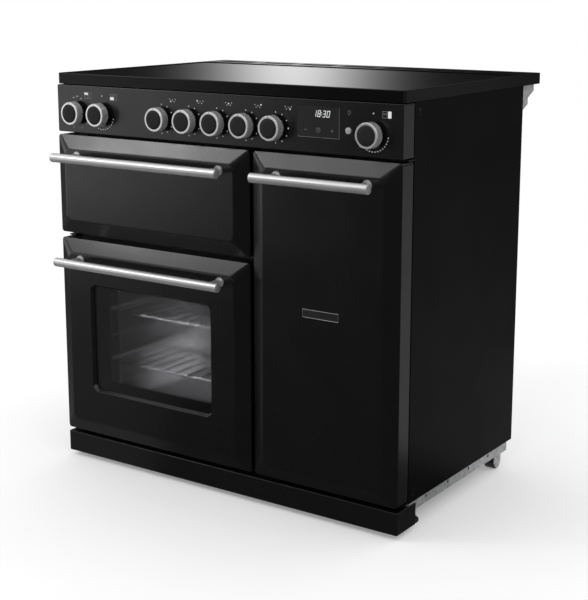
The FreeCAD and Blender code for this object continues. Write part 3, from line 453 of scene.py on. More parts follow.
def arc_strips(x, z, outer, inner, start, sweep, steps):
    """Outlines of the short strips that make up an arc."""
    strips = []
    for i in range(steps):
        first, second = start + sweep * i / steps, start + sweep * (i + 1) / steps
        strips.append([around(x, z, outer, first), around(x, z, outer, second),
                       around(x, z, inner, second), around(x, z, inner, first)])
    return strips


def bar(x0, x1, z0, z1):
    """Outline of an upright rectangle."""
    return [(x0, z0), (x1, z0), (x1, z1), (x0, z1)]


def frame_bars(x0, x1, z0, z1, line):
    """Outline of a rectangle as four bars."""
    return [bar(x0, x1, z0, z0 + line), bar(x0, x1, z1 - line, z1),
            bar(x0, x0 + line, z0 + line, z1 - line), bar(x1 - line, x1, z0 + line, z1 - line)]


def rounded_rect(x0, x1, z0, z1, radius, steps=8):
    """Outline of an upright rectangle with rounded corners."""
    centres = ((x1 - radius, z1 - radius), (x0 + radius, z1 - radius),
               (x0 + radius, z0 + radius), (x1 - radius, z0 + radius))
    return [around(*corner, radius, 90 * (quarter + i / steps))
            for quarter, corner in enumerate(centres) for i in range(steps + 1)]


# ---------------------------------------------------------------- rounded sheet edges
SHEET_EDGES_MM = {"plinth": 2.6, "hob_frame": 1.6, "side_panel_left": 0.8, "side_panel_right": 0.8,
                  "vent_grille": 0.5}
DOOR_EDGE = 1.0 * MM
SAME_PLACE = 0.005 * MM
FLAT_ENOUGH = math.radians(0.1)
SHARP = math.radians(40)


def folded_edges(bm):
    """Edges where the sheet turns a corner."""
    return [edge for edge in bm.edges if len(edge.link_faces) == 2 and edge.calc_face_angle() > SHARP]


def softened(node, radius, body):
    """Takes the place of a solid, with its folded edges rounded so that they catch the light."""
    source = frame["nodes"][node]
    bm = bmesh.new()
    bm.from_mesh(source.data)
    bmesh.ops.remove_doubles(bm, verts=bm.verts, dist=SAME_PLACE)
    bmesh.ops.dissolve_limit(bm, angle_limit=FLAT_ENOUGH, verts=bm.verts, edges=bm.edges)
    bmesh.ops.bevel(bm, geom=folded_edges(bm), offset=radius, segments=3, profile=0.5, affect="EDGES",
                    clamp_overlap=True)
    for edge in bm.edges:
        edge.smooth = len(edge.link_faces) != 2 or edge.calc_face_angle() < SHARP
    mesh = mesh_of(bm, node + "_soft")
    for polygon in mesh.polygons:
        polygon.use_smooth = True
    for material in source.data.materials:
        mesh.materials.append(material)
    obj = added(node + "_soft", mesh)
    weighted = obj.modifiers.new("flat_faces", "WEIGHTED_NORMAL")
    weighted.keep_sharp = True
    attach(obj, body)
    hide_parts(node)


for sheet, radius_mm in SHEET_EDGES_MM.items():
    softened(sheet, radius_mm * MM, "carcass")
for door in ("grill_door", "main_door", "tall_door"):
    softened(door + "_panel", DOOR_EDGE, door)


# ---------------------------------------------------------------- knob caps, necks and pointers
CAP_RADIUS = KNOB_RADIUS - 5.5 * MM
CAP_SINK = 1.1 * MM
CAP_EDGE = 0.85 * MM
CAP_ROUND = 0.5 * MM
CAP_DOME = 0.1 * MM
DOME_SHOULDER = 0.6
DOME_SHOULDER_RISE = 0.75
NECK_RADIUS = KNOB_RADIUS - 5.4 * MM
NECK_START = 0.6 * MM
NECK_END = 9.6 * MM
POINTER_WIDTH = 1.4 * MM
POINTER_LENGTH = 2.6 * MM
POINTER_FROM_RIM = 1.6 * MM
POINTER_PROUD = 0.02 * MM
POINTER_THICK = 0.1 * MM


def knob_fittings(knob):
    """Dark cap sunk in the knob's front, dark neck behind it, and the pointer line on its rim."""
    front_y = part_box(knob)[0].y
    middle = centre(knob)
    body = knob + "_body"

    def cap(bm):
        profile = [(CAP_RADIUS, 0.0), (CAP_RADIUS, CAP_EDGE - CAP_ROUND),
                   (CAP_RADIUS - CAP_ROUND, CAP_EDGE),
                   (CAP_RADIUS * DOME_SHOULDER, CAP_EDGE + CAP_DOME * DOME_SHOULDER_RISE),
                   (0, CAP_EDGE + CAP_DOME)]
        turned(bm, profile, (middle.x, front_y + CAP_SINK, middle.z), FORWARDS)

    def neck(bm):
        turned(bm, [(NECK_RADIUS, NECK_START), (NECK_RADIUS, NECK_END)], (middle.x, FACE_Y, middle.z),
               FORWARDS)

    def pointer(bm):
        top = middle.z + KNOB_RADIUS - POINTER_FROM_RIM
        left = middle.x - POINTER_WIDTH / 2
        flat_plate(bm, bar(left, left + POINTER_WIDTH, top - POINTER_LENGTH, top), front_y - POINTER_PROUD,
                   POINTER_THICK)

    piece("cap_" + knob, cap, cap_plastic, body)
    piece("neck_" + knob, neck, black_plastic, body)
    piece("pointer_" + knob, pointer, black_plastic, body, smooth=False)


for knob in KNOBS:
    knob_fittings(knob)


# ---------------------------------------------------------------- printed marks on the fascia
INK = 0.06 * MM

DOT_RING = 31.0 * MM
DOT_RADIUS = 1.15 * MM
BOOST_RADIUS = 1.5 * MM
POWER_ANGLES = range(-90, 91, 30)

PLAN_FROM_KNOB = 31.0 * MM
PLAN_FROM_TOP = 20.0 * MM
PLAN_DOT = 1.1 * MM
OWN_DOT = 1.6 * MM
FRONT_ZONE_OUT, FRONT_ZONE_UP = 4.6 * MM, -2.4 * MM
REAR_ZONE_OUT, REAR_ZONE_UP = 7.6 * MM, 2.4 * MM
MIDDLE_ZONE_UP = 0.8 * MM
ZONE_PLAN = [(-FRONT_ZONE_OUT, FRONT_ZONE_UP), (-REAR_ZONE_OUT, REAR_ZONE_UP), (0.0, MIDDLE_ZONE_UP),
             (REAR_ZONE_OUT, REAR_ZONE_UP), (FRONT_ZONE_OUT, FRONT_ZONE_UP)]

ICON_FROM_TOP = 28.0 * MM
ICON_WIDTH = 20.0 * MM
ICON_HEIGHT = 13.0 * MM
ICON_LINE = 0.7 * MM
ICON_GAP = 1.6 * MM
TALL_DOOR_SHARE = 0.38
GRILL_DOOR_SHARE = 0.36

ARC_RING = 33.5 * MM
ARC_START_RING = 39.0 * MM
ARC_START_DOT = 1.7 * MM
ARC_START_ANGLE = -140

GRILL_SIGN_WIDTH = 6.4 * MM
GRILL_SIGN_LINE = 1.2 * MM
GRILL_SIGNS_MM = ((-10.6, 851.5), (-0.3, 854.8), (11.8, 850.1))
STOP_RING = 35.0 * MM
STOP_DOT = 1.2 * MM
STOP_ANGLES = (-111, -69, -38)


def print_marks(name, outlines, surface, y=FACE_Y):
    """Flat printed marks on the face at y."""
    def build(bm):
        for outline in outlines:
            flat_plate(bm, outline, y - INK, INK)
    piece(name, build, surface, "carcass", smooth=False)


def ring_dots(x, angles, ring=DOT_RING, dot=DOT_RADIUS):
    """Dots on an arc round a knob."""
    return [disc(*around(x, DIAL_Z, ring, angle), dot) for angle in angles]


def hob_dial(knob, own):
    """Power dots round a hob knob and, beside it, the plan of the zones with its own one bright."""
    x = centre(knob).x
    print_marks("dots_" + knob, ring_dots(x, POWER_ANGLES), white_ink)
    print_marks("boost_" + knob, ring_dots(x, (0,), dot=BOOST_RADIUS), white_ink, FACE_Y - INK)
    plan_x, plan_z = x + PLAN_FROM_KNOB, FASCIA_HIGH.z - PLAN_FROM_TOP
    spots = [(plan_x + across, plan_z + up) for across, up in ZONE_PLAN]
    others = [spot for i, spot in enumerate(spots) if i != own]
    print_marks("plan_" + knob, [disc(*spot, PLAN_DOT) for spot in others], pale_ink)
    print_marks("zone_" + knob, [disc(*spots[own], OWN_DOT)], white_ink)


def cooker_icon(knob, from_knob, lit):
    """Small front view of the cooker above a knob, with one compartment filled."""
    left, low = centre(knob).x + from_knob, FASCIA_HIGH.z - ICON_FROM_TOP
    right, high = left + ICON_WIDTH, low + ICON_HEIGHT
    tall_left = right - ICON_WIDTH * TALL_DOOR_SHARE
    grill_low = high - ICON_HEIGHT * GRILL_DOOR_SHARE
    doors = {"grill": (left, tall_left - ICON_GAP, grill_low, high),
             "main": (left, tall_left - ICON_GAP, low, grill_low - ICON_GAP),
             "tall": (tall_left, right, low, high)}
    empty = [edges for door, edges in doors.items() if door != lit]
    faint = [side for edges in empty for side in frame_bars(*edges, ICON_LINE)]
    print_marks("icon_" + knob, faint, grey_ink)
    print_marks("icon_lit_" + knob, [bar(*doors[lit])], white_ink)


def temperature_arc(knob, start, end, count):
    """Row of dots round the lower right of an oven knob, from start to end in degrees."""
    x = centre(knob).x
    step = (end - start) / (count - 1)
    angles = [start + step * i for i in range(count)]
    print_marks("arc_" + knob, ring_dots(x, angles, ARC_RING), white_ink)
    print_marks("arc_start_" + knob, ring_dots(x, (ARC_START_ANGLE,), ARC_START_RING, ARC_START_DOT),
                grey_ink)


def grill_marks():
    """Three heating signs above the grill knob and three stops below it."""
    x = centre("knob_grill_function").x
    half_width, half_line = GRILL_SIGN_WIDTH / 2, GRILL_SIGN_LINE / 2
    places = [(x + across * MM, height * MM) for across, height in GRILL_SIGNS_MM]
    signs = [bar(a - half_width, a + half_width, b - half_line, b + half_line) for a, b in places]
    print_marks("grill_signs", signs, pale_ink)
    print_marks("grill_stops", ring_dots(x, STOP_ANGLES, STOP_RING, STOP_DOT), pale_ink)


for i, knob in enumerate(HOB_KNOBS):
    hob_dial(knob, i)
cooker_icon("knob_main_oven", from_knob=24.0 * MM, lit="main")
cooker_icon("knob_grill_function", from_knob=22.5 * MM, lit="grill")
cooker_icon("knob_tall_oven", from_knob=19.5 * MM, lit="tall")
temperature_arc("knob_main_oven", start=-112, end=-16, count=9)
temperature_arc("knob_tall_oven", start=-115, end=-8, count=11)
grill_marks()


# ---------------------------------------------------------------- neon lamps, light button mark
NEON_FROM_TOP = 20.5 * MM
LENS_RADIUS = 1.9 * MM
LENS_EDGE = 0.3 * MM
LENS_ROUND = 0.5 * MM
LENS_SHOULDER = 0.8 * MM
LENS_HEIGHT = 1.0 * MM

BULB_FROM_TOP = 21.0 * MM
BULB_RADIUS = 3.4 * MM
BULB_LINE = 0.6 * MM
BULB_FOOT_WIDTH = 3.0 * MM
BULB_FOOT_DOWN = (3.6 * MM, 5.0 * MM)


def neon(name, knob):
    """Small domed lens above an oven knob."""
    def lens(bm):
        profile = [(LENS_RADIUS, 0.0), (LENS_RADIUS, LENS_EDGE), (LENS_RADIUS - LENS_ROUND, LENS_SHOULDER),
                   (0, LENS_HEIGHT)]
        turned(bm, profile, (centre(knob).x, FACE_Y, FASCIA_HIGH.z - NEON_FROM_TOP), FORWARDS, steps=24)
    piece(name, lens, printed("lens_" + name, level=0.45), "carcass")


def bulb_icon():
    """Outline of a lamp, open at the bottom over two short lines, above the light button."""
    x, z = centre("light_button").x, FASCIA_HIGH.z - BULB_FROM_TOP
    bulb = arc_strips(x, z, BULB_RADIUS, BULB_RADIUS - BULB_LINE, start=-60, sweep=300, steps=22)
    half = BULB_FOOT_WIDTH / 2
    foot = [bar(x - half, x + half, z - down - BULB_LINE, z - down) for down in BULB_FOOT_DOWN]
    print_marks("bulb_icon", bulb + foot, grey_ink)


neon("neon_main_oven", "knob_main_oven")
neon("neon_tall_oven", "knob_tall_oven")
bulb_icon()


# ---------------------------------------------------------------- timer display
TIME_SHOWN = "1830"
SEGMENTS = {"0": "abcdef", "1": "bc", "3": "abcdg", "8": "abcdefg"}
TIME_FROM_TOP = 21.5 * MM
TIME_HALF_WIDTH = 12.0 * MM
DIGIT_WIDTH = 6.4 * MM
DIGIT_HEIGHT = 12.8 * MM
DIGIT_PITCH = 9.8 * MM
DIGIT_LEAN = 0.2
SEGMENT_LINE = 0.85 * MM
SEGMENT_GAP = SEGMENT_LINE / 4
COLON_SPACE = 2.0 * MM
COLON_DOT = 0.75 * MM
COLON_LOW, COLON_HIGH = 0.32, 0.7
COLON_LOW_ACROSS, COLON_HIGH_ACROSS = 0.2 * MM, 0.7 * MM

SIGNS_FROM_BOTTOM = 15.0 * MM
SIGN_OUT = 33.0 * MM
SIGN_LINE = 0.8 * MM
MINUS_LENGTH = 7.0 * MM
PLUS_ARM = 3.2 * MM
DIAL_RADIUS = 4.8 * MM
DIAL_LINE = 0.6 * MM
LONG_HAND = 3.2 * MM
SHORT_HAND = 2.4 * MM


def digit(x, z, shown):
    """Outlines of the lit segments of one figure with its lower left corner at x, z."""
    right, top, middle = x + DIGIT_WIDTH, z + DIGIT_HEIGHT, z + DIGIT_HEIGHT / 2
    line, gap = SEGMENT_LINE, SEGMENT_GAP
    segments = {"a": (x + gap, right - gap, top - line, top),
                "b": (right - line, right, middle + gap, top - gap),
                "c": (right - line, right, z + gap, middle - gap),
                "d": (x + gap, right - gap, z, z + line),
                "e": (x, x + line, z + gap, middle - gap),
                "f": (x, x + line, middle + gap, top - gap),
                "g": (x + gap, right - gap, middle - line / 2, middle + line / 2)}
    return [[(a + DIGIT_LEAN * (b - z), b) for a, b in bar(*segments[name])] for name in SEGMENTS[shown]]


def display_time():
    """Four leaning figures with a colon in their middle."""
    left, z = centre("clock_window").x - TIME_HALF_WIDTH, CLOCK_HIGH.z - TIME_FROM_TOP
    half = len(TIME_SHOWN) // 2
    strips = []
    for i, shown in enumerate(TIME_SHOWN):
        shift = COLON_SPACE if i >= half else 0.0
        strips += digit(left + i * DIGIT_PITCH + shift, z, shown)
    colon = left + half * DIGIT_PITCH
    dots = [disc(colon + COLON_LOW_ACROSS, z + DIGIT_HEIGHT * COLON_LOW, COLON_DOT),
            disc(colon + COLON_HIGH_ACROSS, z + DIGIT_HEIGHT * COLON_HIGH, COLON_DOT)]
    print_marks("display_time", strips + dots, lit_ink, CLOCK_LOW.y)


def display_signs():
    """Minus at the left, plus at the right and a small clock dial between them."""
    x, z = centre("clock_window").x, CLOCK_LOW.z + SIGNS_FROM_BOTTOM
    half, left, right = SIGN_LINE / 2, x - SIGN_OUT, x + SIGN_OUT
    minus = [bar(left, left + MINUS_LENGTH, z - half, z + half)]
    plus = [bar(right - PLUS_ARM, right + PLUS_ARM, z - half, z + half),
            bar(right - half, right + half, z - PLUS_ARM, z + PLUS_ARM)]
    dial = arc_strips(x, z, DIAL_RADIUS, DIAL_RADIUS - DIAL_LINE, start=0, sweep=360, steps=24)
    thin = DIAL_LINE / 2
    hands = [bar(x - thin, x + thin, z, z + LONG_HAND), bar(x, x + SHORT_HAND, z - thin, z + thin)]
    print_marks("display_touch_signs", minus + plus + dial + hands, grey_ink, CLOCK_LOW.y)


display_time()
display_signs()


# ---------------------------------------------------------------- painted highlight on the display edge, and bare plate
# Width and proudness of the bright strips that paint the highlight on the display glass edge.
HIGHLIGHT_LINE = 0.8 * MM
HIGHLIGHT_PROUD = 0.3 * MM

PLATE_Z = 448.0 * MM
PLATE_WIDTH = 87.0 * MM
PLATE_HEIGHT = 17.5 * MM
PLATE_THICK = 1.2 * MM
PLATE_FACE = 0.72 * MM
PLATE_BORDER = 1.0 * MM
PLATE_CORNER = 1.5 * MM
PLATE_INNER_CORNER = 0.8 * MM


def display_edge_highlight():
    """Bright steel strips along the bottom and the right of the display glass, which paint the highlight
    its edge catches.
    """
    x0, x1, z0, z1 = CLOCK_LOW.x, CLOCK_HIGH.x, CLOCK_LOW.z, CLOCK_HIGH.z
    bottom = bar(x0 + HIGHLIGHT_LINE, x1 - HIGHLIGHT_LINE, z0, z0 + HIGHLIGHT_LINE)
    side = bar(x1 - HIGHLIGHT_LINE, x1, z0 + HIGHLIGHT_LINE, z1 - 2 * HIGHLIGHT_LINE)

    def build(bm):
        for outline in (bottom, side):
            flat_plate(bm, outline, FACE_Y - HIGHLIGHT_PROUD, HIGHLIGHT_PROUD)
    piece("display_painted_highlight", build, steel_face, "carcass", smooth=False)


def bare_plate():
    """Small plain plate with a thin bright border, on the tall door."""
    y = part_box("tall_door_panel")[0].y
    x0 = centre("tall_door_panel").x - PLATE_WIDTH / 2
    z0 = PLATE_Z - PLATE_HEIGHT / 2
    x1, z1 = x0 + PLATE_WIDTH, z0 + PLATE_HEIGHT
    outer = rounded_rect(x0, x1, z0, z1, PLATE_CORNER)
    inner = rounded_rect(x0 + PLATE_BORDER, x1 - PLATE_BORDER, z0 + PLATE_BORDER, z1 - PLATE_BORDER,
                         PLATE_INNER_CORNER)

    def border(bm):
        ring_plate(bm, outer, inner, y - PLATE_THICK, PLATE_THICK)

    def face(bm):
        flat_plate(bm, inner, y - PLATE_FACE, PLATE_FACE)

    piece("plate_border", border, steel_face, "tall_door")
    piece("plate_face", face, black_plastic, "tall_door", smooth=False)


display_edge_highlight()
bare_plate()


# ---------------------------------------------------------------- handle ends
BAR_RADIUS = 10.0 * MM
BAR_END_RADIUS = 8.0 * MM
BAR_END_EDGE = 0.25 * MM
BAR_END_THICK = 0.5 * MM
BAR_END_ROUND = 0.4 * MM


def handle_ends(door):
    """Flat caps in the two ends of a door's handle bar, in a darker steel that paints the shade on the end
    faces.
    """
    node = door + "_handle"
    low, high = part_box(node)
    profile = [(BAR_END_RADIUS, 0.0), (BAR_END_RADIUS, BAR_END_EDGE),
               (BAR_END_RADIUS - BAR_END_ROUND, BAR_END_THICK), (0, BAR_END_THICK)]
    for x, way, side in ((low.x, -1, "left"), (high.x, 1, "right")):
        def cap(bm):
            turned(bm, profile, (x, low.y + BAR_RADIUS, high.z - BAR_RADIUS), (way, 0, 0), steps=40)
        piece("bar_end_%s_%s" % (side, node), cap, end_steel_painted_shade, door)


for door in ("grill_door", "main_door", "tall_door"):
    handle_ends(door)


# ---------------------------------------------------------------- screws and louvres
SCREW_SHAPE = ((1.0, 0.0), (0.96, 0.45), (0.7, 0.85), (0.32, 1.0), (0.22, 0.55), (0.0, 0.5))

SIDE_FROM_FRONT = 19.0 * MM
SIDE_SCREW_HEIGHTS = (855.0 * MM, 89.0 * MM, 79.0 * MM)
SPARE_HOLE_HEIGHT = 865.0 * MM
SPARE_HOLE_RADIUS = 2.4 * MM
SPARE_HOLE_PROUD = 0.12 * MM

BACK_SHEET = 1.5 * MM
BACK_EDGE = 8.0 * MM
BACK_ROWS = 6
BACK_BAYS = 5

LOUVRE_ROWS = 7
LOUVRE_PITCH = 14.0 * MM
LOUVRE_FROM_TOP = 110.0 * MM
LOUVRE_COLUMN_OUT = 210.0 * MM
LOUVRE_HALF = 80.0 * MM
LOUVRE_CREST_HALF = 77.6 * MM
LOUVRE_PROUD = 2.6 * MM
LOUVRE_CREST_UP = 5.0 * MM
LOUVRE_TALL = 6.4 * MM

TERMINAL_SCREW_OUT = 48.0 * MM
TERMINAL_SCREW_UP = (30.0 * MM, 86.0 * MM)


def screws(name, places, out, surface, radius, proud):
    """Domed screw heads with a round recess, facing out; their shape is in shares of radius and proud."""
    profile = [(radius * across, proud * up) for across, up in SCREW_SHAPE]

    def build(bm):
        for place in places:
            turned(bm, profile, place, out, steps=24)
    piece(name, build, surface, "carcass")


def side_screws(label, x, way):
    """Screws near the front edge of a side sheet, with the spare hole above them."""
    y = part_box("side_panel_" + label)[0].y + SIDE_FROM_FRONT
    out = (way, 0, 0)
    places = [(x, y, height) for height in SIDE_SCREW_HEIGHTS]
    screws("screws_side_" + label, places, out, blackened, radius=2.6 * MM, proud=1.0 * MM)

    def hole(bm):
        profile = [(SPARE_HOLE_RADIUS, 0.0), (SPARE_HOLE_RADIUS, SPARE_HOLE_PROUD)]
        turned(bm, profile, (x, y, SPARE_HOLE_HEIGHT), out, steps=20)
    piece("spare_hole_" + label, hole, rubber, "carcass", smooth=False)


def back_screws():
    """Screws round the edge of the rear sheet."""
    low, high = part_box("back_panel")
    y = low.y + BACK_SHEET
    bottom, top = low.z + BACK_EDGE, high.z - BACK_EDGE
    heights = [bottom + (top - bottom) * i / (BACK_ROWS - 1) for i in range(BACK_ROWS)]
    places = [(x, y, z) for x in (low.x + BACK_EDGE, high.x - BACK_EDGE) for z in heights]
    bays = [low.x + (high.x - low.x) * i / BACK_BAYS for i in range(1, BACK_BAYS)]
    places += [(x, y, z) for x in bays for z in (bottom, top)]
    screws("screws_back", places, BACKWARDS, steel_face, radius=3.6 * MM, proud=1.4 * MM)


def louvre(bm, x, y, z):
    """Adds a pressed ridge that stands off the sheet at y, with its lower edge at z."""
    def edge(half, edge_y, edge_z):
        return [bm.verts.new((x + side * half, edge_y, edge_z)) for side in (-1, 1)]

    low_left, low_right = edge(LOUVRE_HALF, y, z)
    crest_left, crest_right = edge(LOUVRE_CREST_HALF, y + LOUVRE_PROUD, z + LOUVRE_CREST_UP)
    top_left, top_right = edge(LOUVRE_HALF, y, z + LOUVRE_TALL)
    for face in ((low_left, low_right, crest_right, crest_left),
                 (crest_left, crest_right, top_right, top_left),
                 (low_left, crest_left, top_left), (low_right, top_right, crest_right),
                 (low_left, top_left, top_right, low_right)):
        bm.faces.new(face)


def back_louvres():
    """Three columns of louvres in the raised centre of the rear sheet."""
    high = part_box("back_panel")[1]

    def build(bm):
        for row in range(LOUVRE_ROWS):
            for x in (-LOUVRE_COLUMN_OUT, 0.0, LOUVRE_COLUMN_OUT):
                louvre(bm, x, high.y, high.z - LOUVRE_FROM_TOP - row * LOUVRE_PITCH)
    piece("back_louvres", build, zinc, "carcass", smooth=False)


def terminal_screws():
    """Screws in the lid of the terminal box."""
    low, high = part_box("terminal_box")
    middle = centre("terminal_box").x
    places = [(middle + side * TERMINAL_SCREW_OUT, high.y, low.z + up)
              for side in (-1, 1) for up in TERMINAL_SCREW_UP]
    screws("screws_terminal", places, BACKWARDS, steel_face, radius=3.0 * MM, proud=1.2 * MM)


side_screws("left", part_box("side_panel_left")[0].x, -1)
side_screws("right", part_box("side_panel_right")[1].x, 1)
back_screws()
back_louvres()
terminal_screws()


# ---------------------------------------------------------------- studio floor and surround
FLOOR_RADIUS = 14.0
FLOOR_LEVEL = 0.86
FLOOR_LIFT = 0.2
WHITE_FROM = 1.3
WHITE_AT = 3.2


def floor_paint():
    """Pale paint that turns white away from the cooker, for the camera and for reflections."""
    s = Surface("floor_paint", (FLOOR_LEVEL,) * 3, roughness=0.7, Specular_IOR_Level=0.2)
    s.wire(Roughness=s.clouds(0.65, 0.8, scale=3.0, detail=3.0))
    path = s.add("ShaderNodeLightPath").outputs
    fade = s.ramp(s.vectors("LENGTH", s.place)["Value"], 0.0, 1.0, WHITE_FROM, WHITE_AT)
    seen = path["Is Camera Ray"]
    for kind in ("Is Glossy Ray", "Is Transmission Ray"):
        seen = s.maths("MAXIMUM", seen, path[kind])
    lift = s.add("ShaderNodeEmission", Strength=s.maths("MULTIPLY", path["Is Camera Ray"], FLOOR_LIFT))
    paint = s.tree.nodes.new("ShaderNodeAddShader")
    s.set(paint, {0: s.shader.outputs[0], 1: lift.outputs[0]})
    s.show(s.maths("MULTIPLY", fade, seen), paint, s.add("ShaderNodeEmission", Strength=1.0))
    return s


def floor():
    """Plain pale floor that fades into the white surround."""
    bm = bmesh.new()
    bmesh.ops.create_circle(bm, cap_ends=True, segments=96, radius=FLOOR_RADIUS)
    mesh = mesh_of(bm, "floor")
    mesh.materials.append(floor_paint().material)
    obj = added("floor", mesh)


def world():
    """Plain white surround."""
    made = bpy.data.worlds.new("studio")
    made.use_nodes = True
    surround = made.node_tree.nodes["Background"]
    surround.inputs["Color"].default_value = (1, 1, 1, 1)
    surround.inputs["Strength"].default_value = 1.0
    bpy.context.scene.world = made


# ---------------------------------------------------------------- cards that only reflections see
# Directions are in degrees from the front round by the left. A card's edge is the cosine of the angle
# from its direction: it starts at the first number and is full at the second. Heights are in metres.
SHELL_RADIUS = 6.0
SHELL_HEIGHT = 5.0
SHELL_LIFT = 0.5 * MM
SHELL_DARK = 0.06
REAR_DARK = 0.012
REAR_EDGE = (0.5, 0.85)
CEILING_RISE = (3.0, SHELL_HEIGHT)
WINDOW_AT = 60.0
WINDOW_LEVEL = 1.3
WINDOW_EDGE = (0.86, 0.975)
WINDOW_ON_MAT = 0.08
WINDOW_REACH = (2.2, SHELL_RADIUS)
WINDOW_HIGH_SHARE = 0.15
WINDOW_FALL = (1.0, 2.4)
SIDE_WINDOW_AT = -72.0
SIDE_WINDOW_LEVEL = 1.1
SIDE_WINDOW_EDGE = (0.96, 0.985)
SIDE_WINDOW_RISE = (0.1, 0.5)
END_CARD_AT = -128.0
END_CARD_LEVEL = 0.32
END_CARD_EDGE = (0.88, 0.96)
END_CARD_FALL = (0.6, 1.8)
STRIP_AT = 145.4
STRIP_WIDTH = 3.1
STRIP_LEVEL = 1.0
STRIP_EDGE = (0.0, 0.5)
STRIP_RISE = (0.2, 0.9)


def towards(degrees):
    """Level direction, in degrees from the front (-Y) round by the left (-X)."""
    return Vector((-math.sin(math.radians(degrees)), -math.cos(math.radians(degrees)), 0.0))


class Cards(Surface):
    """A glow that varies with the direction and the height of a place on the shell."""

    def __init__(self, name):
        super().__init__(name, (0, 0, 0), roughness=1.0)
        flat_place = self.stretched((1.0, 1.0, 0.0))
        self.heading = self.vectors("NORMALIZE", flat_place)["Vector"]
        self.reach = self.vectors("LENGTH", flat_place)["Value"]
        self.height = self.add("ShaderNodeSeparateXYZ", Vector=self.place).outputs["Z"]

    def facing(self, degrees):
        """Cosine of the angle between a place's direction and the given one."""
        return self.vectors("DOT_PRODUCT", self.heading, towards(degrees))["Value"]

    def soft(self, value, low, high, span):
        """Goes softly from low to high as the value goes over the span."""
        return self.ramp(value, low, high, *span, shape="SMOOTHSTEP")

    def card(self, degrees, level, edge, *shares):
        """A card in one direction, dimmed by each of the shares."""
        lit = self.soft(self.facing(degrees), 0.0, level, edge)
        for share in shares:
            lit = self.maths("MULTIPLY", lit, share)
        return lit


def left_window(s):
    """Large soft window at the left, weaker near the cooker and towards the top."""
    return s.card(WINDOW_AT, WINDOW_LEVEL, WINDOW_EDGE, s.soft(s.reach, WINDOW_ON_MAT, 1.0, WINDOW_REACH),
                  s.soft(s.height, 1.0, WINDOW_HIGH_SHARE, WINDOW_FALL))


def right_window(s):
    """Smaller window at the right front."""
    return s.card(SIDE_WINDOW_AT, SIDE_WINDOW_LEVEL, SIDE_WINDOW_EDGE,
                  s.soft(s.height, 0.0, 1.0, SIDE_WINDOW_RISE))


def end_card(s):
    """Low grey card at the right rear, which the right side panel reflects."""
    return s.card(END_CARD_AT, END_CARD_LEVEL, END_CARD_EDGE, s.soft(s.height, 1.0, 0.0, END_CARD_FALL))


def rear_strip(s):
    """Narrow strip behind, with a bell-shaped edge, which the hob glass reflects."""
    off = s.maths("DIVIDE", s.facing(STRIP_AT + 90.0), math.radians(STRIP_WIDTH))
    bell = s.maths("EXPONENT", s.maths("MULTIPLY", s.maths("POWER", off, 2.0), -0.5))
    return s.card(STRIP_AT, STRIP_LEVEL, STRIP_EDGE, bell, s.soft(s.height, 0.0, 1.0, STRIP_RISE))


def studio_cards():
    """Dark walls with their cards and a pale ceiling, for rays that come from a reflection only."""
    s = Cards("studio_cards")
    level = s.soft(s.facing(STRIP_AT), SHELL_DARK, REAR_DARK, REAR_EDGE)
    ceiling = s.soft(s.height, 0.0, 1.0 - SHELL_DARK, CEILING_RISE)
    for lit in (left_window(s), right_window(s), end_card(s), rear_strip(s), ceiling):
        level = s.maths("ADD", level, lit)
    glow = s.add("ShaderNodeEmission", Strength=level)
    mirrored = s.maths("MINIMUM", s.add("ShaderNodeLightPath").outputs["Glossy Depth"], 1.0)
    s.show(mirrored, s.add("ShaderNodeBsdfTransparent"), glow)
    s.material.cycles.emission_sampling = "NONE"
    return s


def shell():
    """Studio walls and mat that only reflections see."""
    bm = bmesh.new()
    ring = bmesh.ops.create_circle(bm, cap_ends=True, segments=128, radius=SHELL_RADIUS)["verts"]
    edges = list({edge for vert in ring for edge in vert.link_edges})
    for part in bmesh.ops.extrude_edge_only(bm, edges=edges)["geom"]:
        if isinstance(part, bmesh.types.BMVert):
            part.co.z = SHELL_HEIGHT
    mesh = mesh_of(bm, "studio_shell")
    mesh.materials.append(studio_cards().material)
    obj = added("studio_shell", mesh)
    obj.location.z = SHELL_LIFT
    for kind in ("camera", "diffuse", "volume_scatter", "shadow"):
        setattr(obj, "visible_" + kind, False)


# ---------------------------------------------------------------- lights and camera
GLOW_UP = 100 * MM
GLOW_FROM_RIGHT = 80 * MM
GLOW_TARGET_IN = 30 * MM
GLOW_SPREAD = 60
GLINT_UP = 100 * MM
GLINT_FROM_RIGHT = 150 * MM
GLINT_IN_FRONT = 14 * MM
GLINT_TARGET_IN = 12 * MM
GLINT_SPREAD = 16

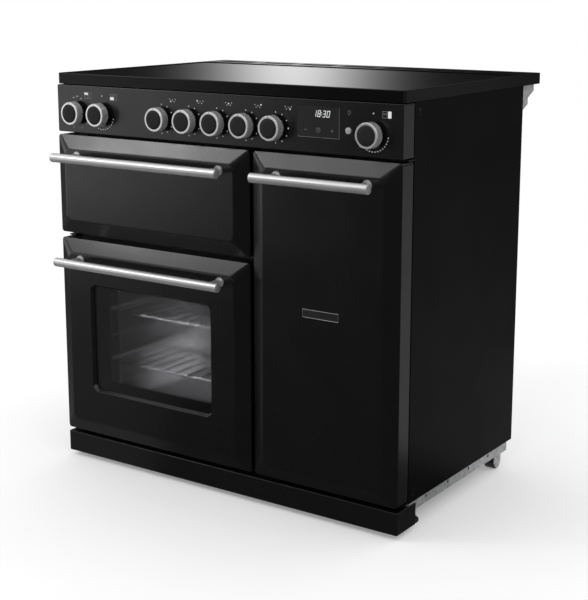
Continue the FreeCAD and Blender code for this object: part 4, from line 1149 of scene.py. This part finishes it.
LENS = 79.13
SENSOR_WIDTH = 36.0
LENS_SHIFT = -0.07
CAMERA_PLACE = (1.6889, -2.4348, 1.1021)
CAMERA_YAW = 34.576
CAMERA_PITCH = 11.771


def softbox(name, place, target, width, height, watts):
    """Rectangular lamp that faces the target."""
    data = bpy.data.lights.new(name, "AREA")
    data.shape = "RECTANGLE"
    data.size, data.size_y = width, height
    data.energy = watts
    obj = added(name, data)
    obj.location = place
    obj.rotation_euler = (Vector(target) - Vector(place)).to_track_quat("-Z", "Y").to_euler()
    return obj


def oven_glow():
    """Light inside the main oven: a soft pool at its rear left."""
    low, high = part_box("main_oven_cavity")
    lamp_z = low.z + GLOW_UP
    lamp = softbox("oven_glow", place=(high.x - GLOW_FROM_RIGHT, 0.0, lamp_z),
                   target=(low.x + GLOW_TARGET_IN, high.y - GLOW_TARGET_IN, lamp_z),
                   width=0.1, height=0.05, watts=1.5)
    lamp.data.spread = math.radians(GLOW_SPREAD)


def shelf_glint():
    """Narrow light down the fronts of the shelves."""
    low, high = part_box("main_oven_shelves")
    x = high.x - GLINT_FROM_RIGHT
    lamp = softbox("shelf_glint", place=(x, low.y - GLINT_IN_FRONT, high.z + GLINT_UP),
                   target=(x, low.y + GLINT_TARGET_IN, low.z), width=0.3, height=0.01, watts=1.0)
    lamp.data.spread = math.radians(GLINT_SPREAD)


def camera():
    """The photograph's view: lens and place solved from the cooker's corners."""
    data = bpy.data.cameras.new("camera")
    data.lens = LENS
    data.sensor_width = SENSOR_WIDTH
    data.shift_y = LENS_SHIFT
    obj = added("camera", data)
    obj.location = CAMERA_PLACE
    obj.rotation_euler = (math.radians(90 - CAMERA_PITCH), 0.0, math.radians(CAMERA_YAW))
    bpy.context.scene.camera = obj


floor()
world()
shell()
softbox("key_left_above", place=(-2.25, -2.0, 2.33), target=(-0.2, -0.3, 0.7),
        width=0.35, height=0.9, watts=13)
softbox("fill_left_above", place=(-1.35, -2.1, 2.4), target=(0.1, -0.3, 0.7),
        width=0.7, height=0.9, watts=3.5)
oven_glow()
shelf_glint()
camera()
bpy.context.scene.view_settings.view_transform = "Standard"
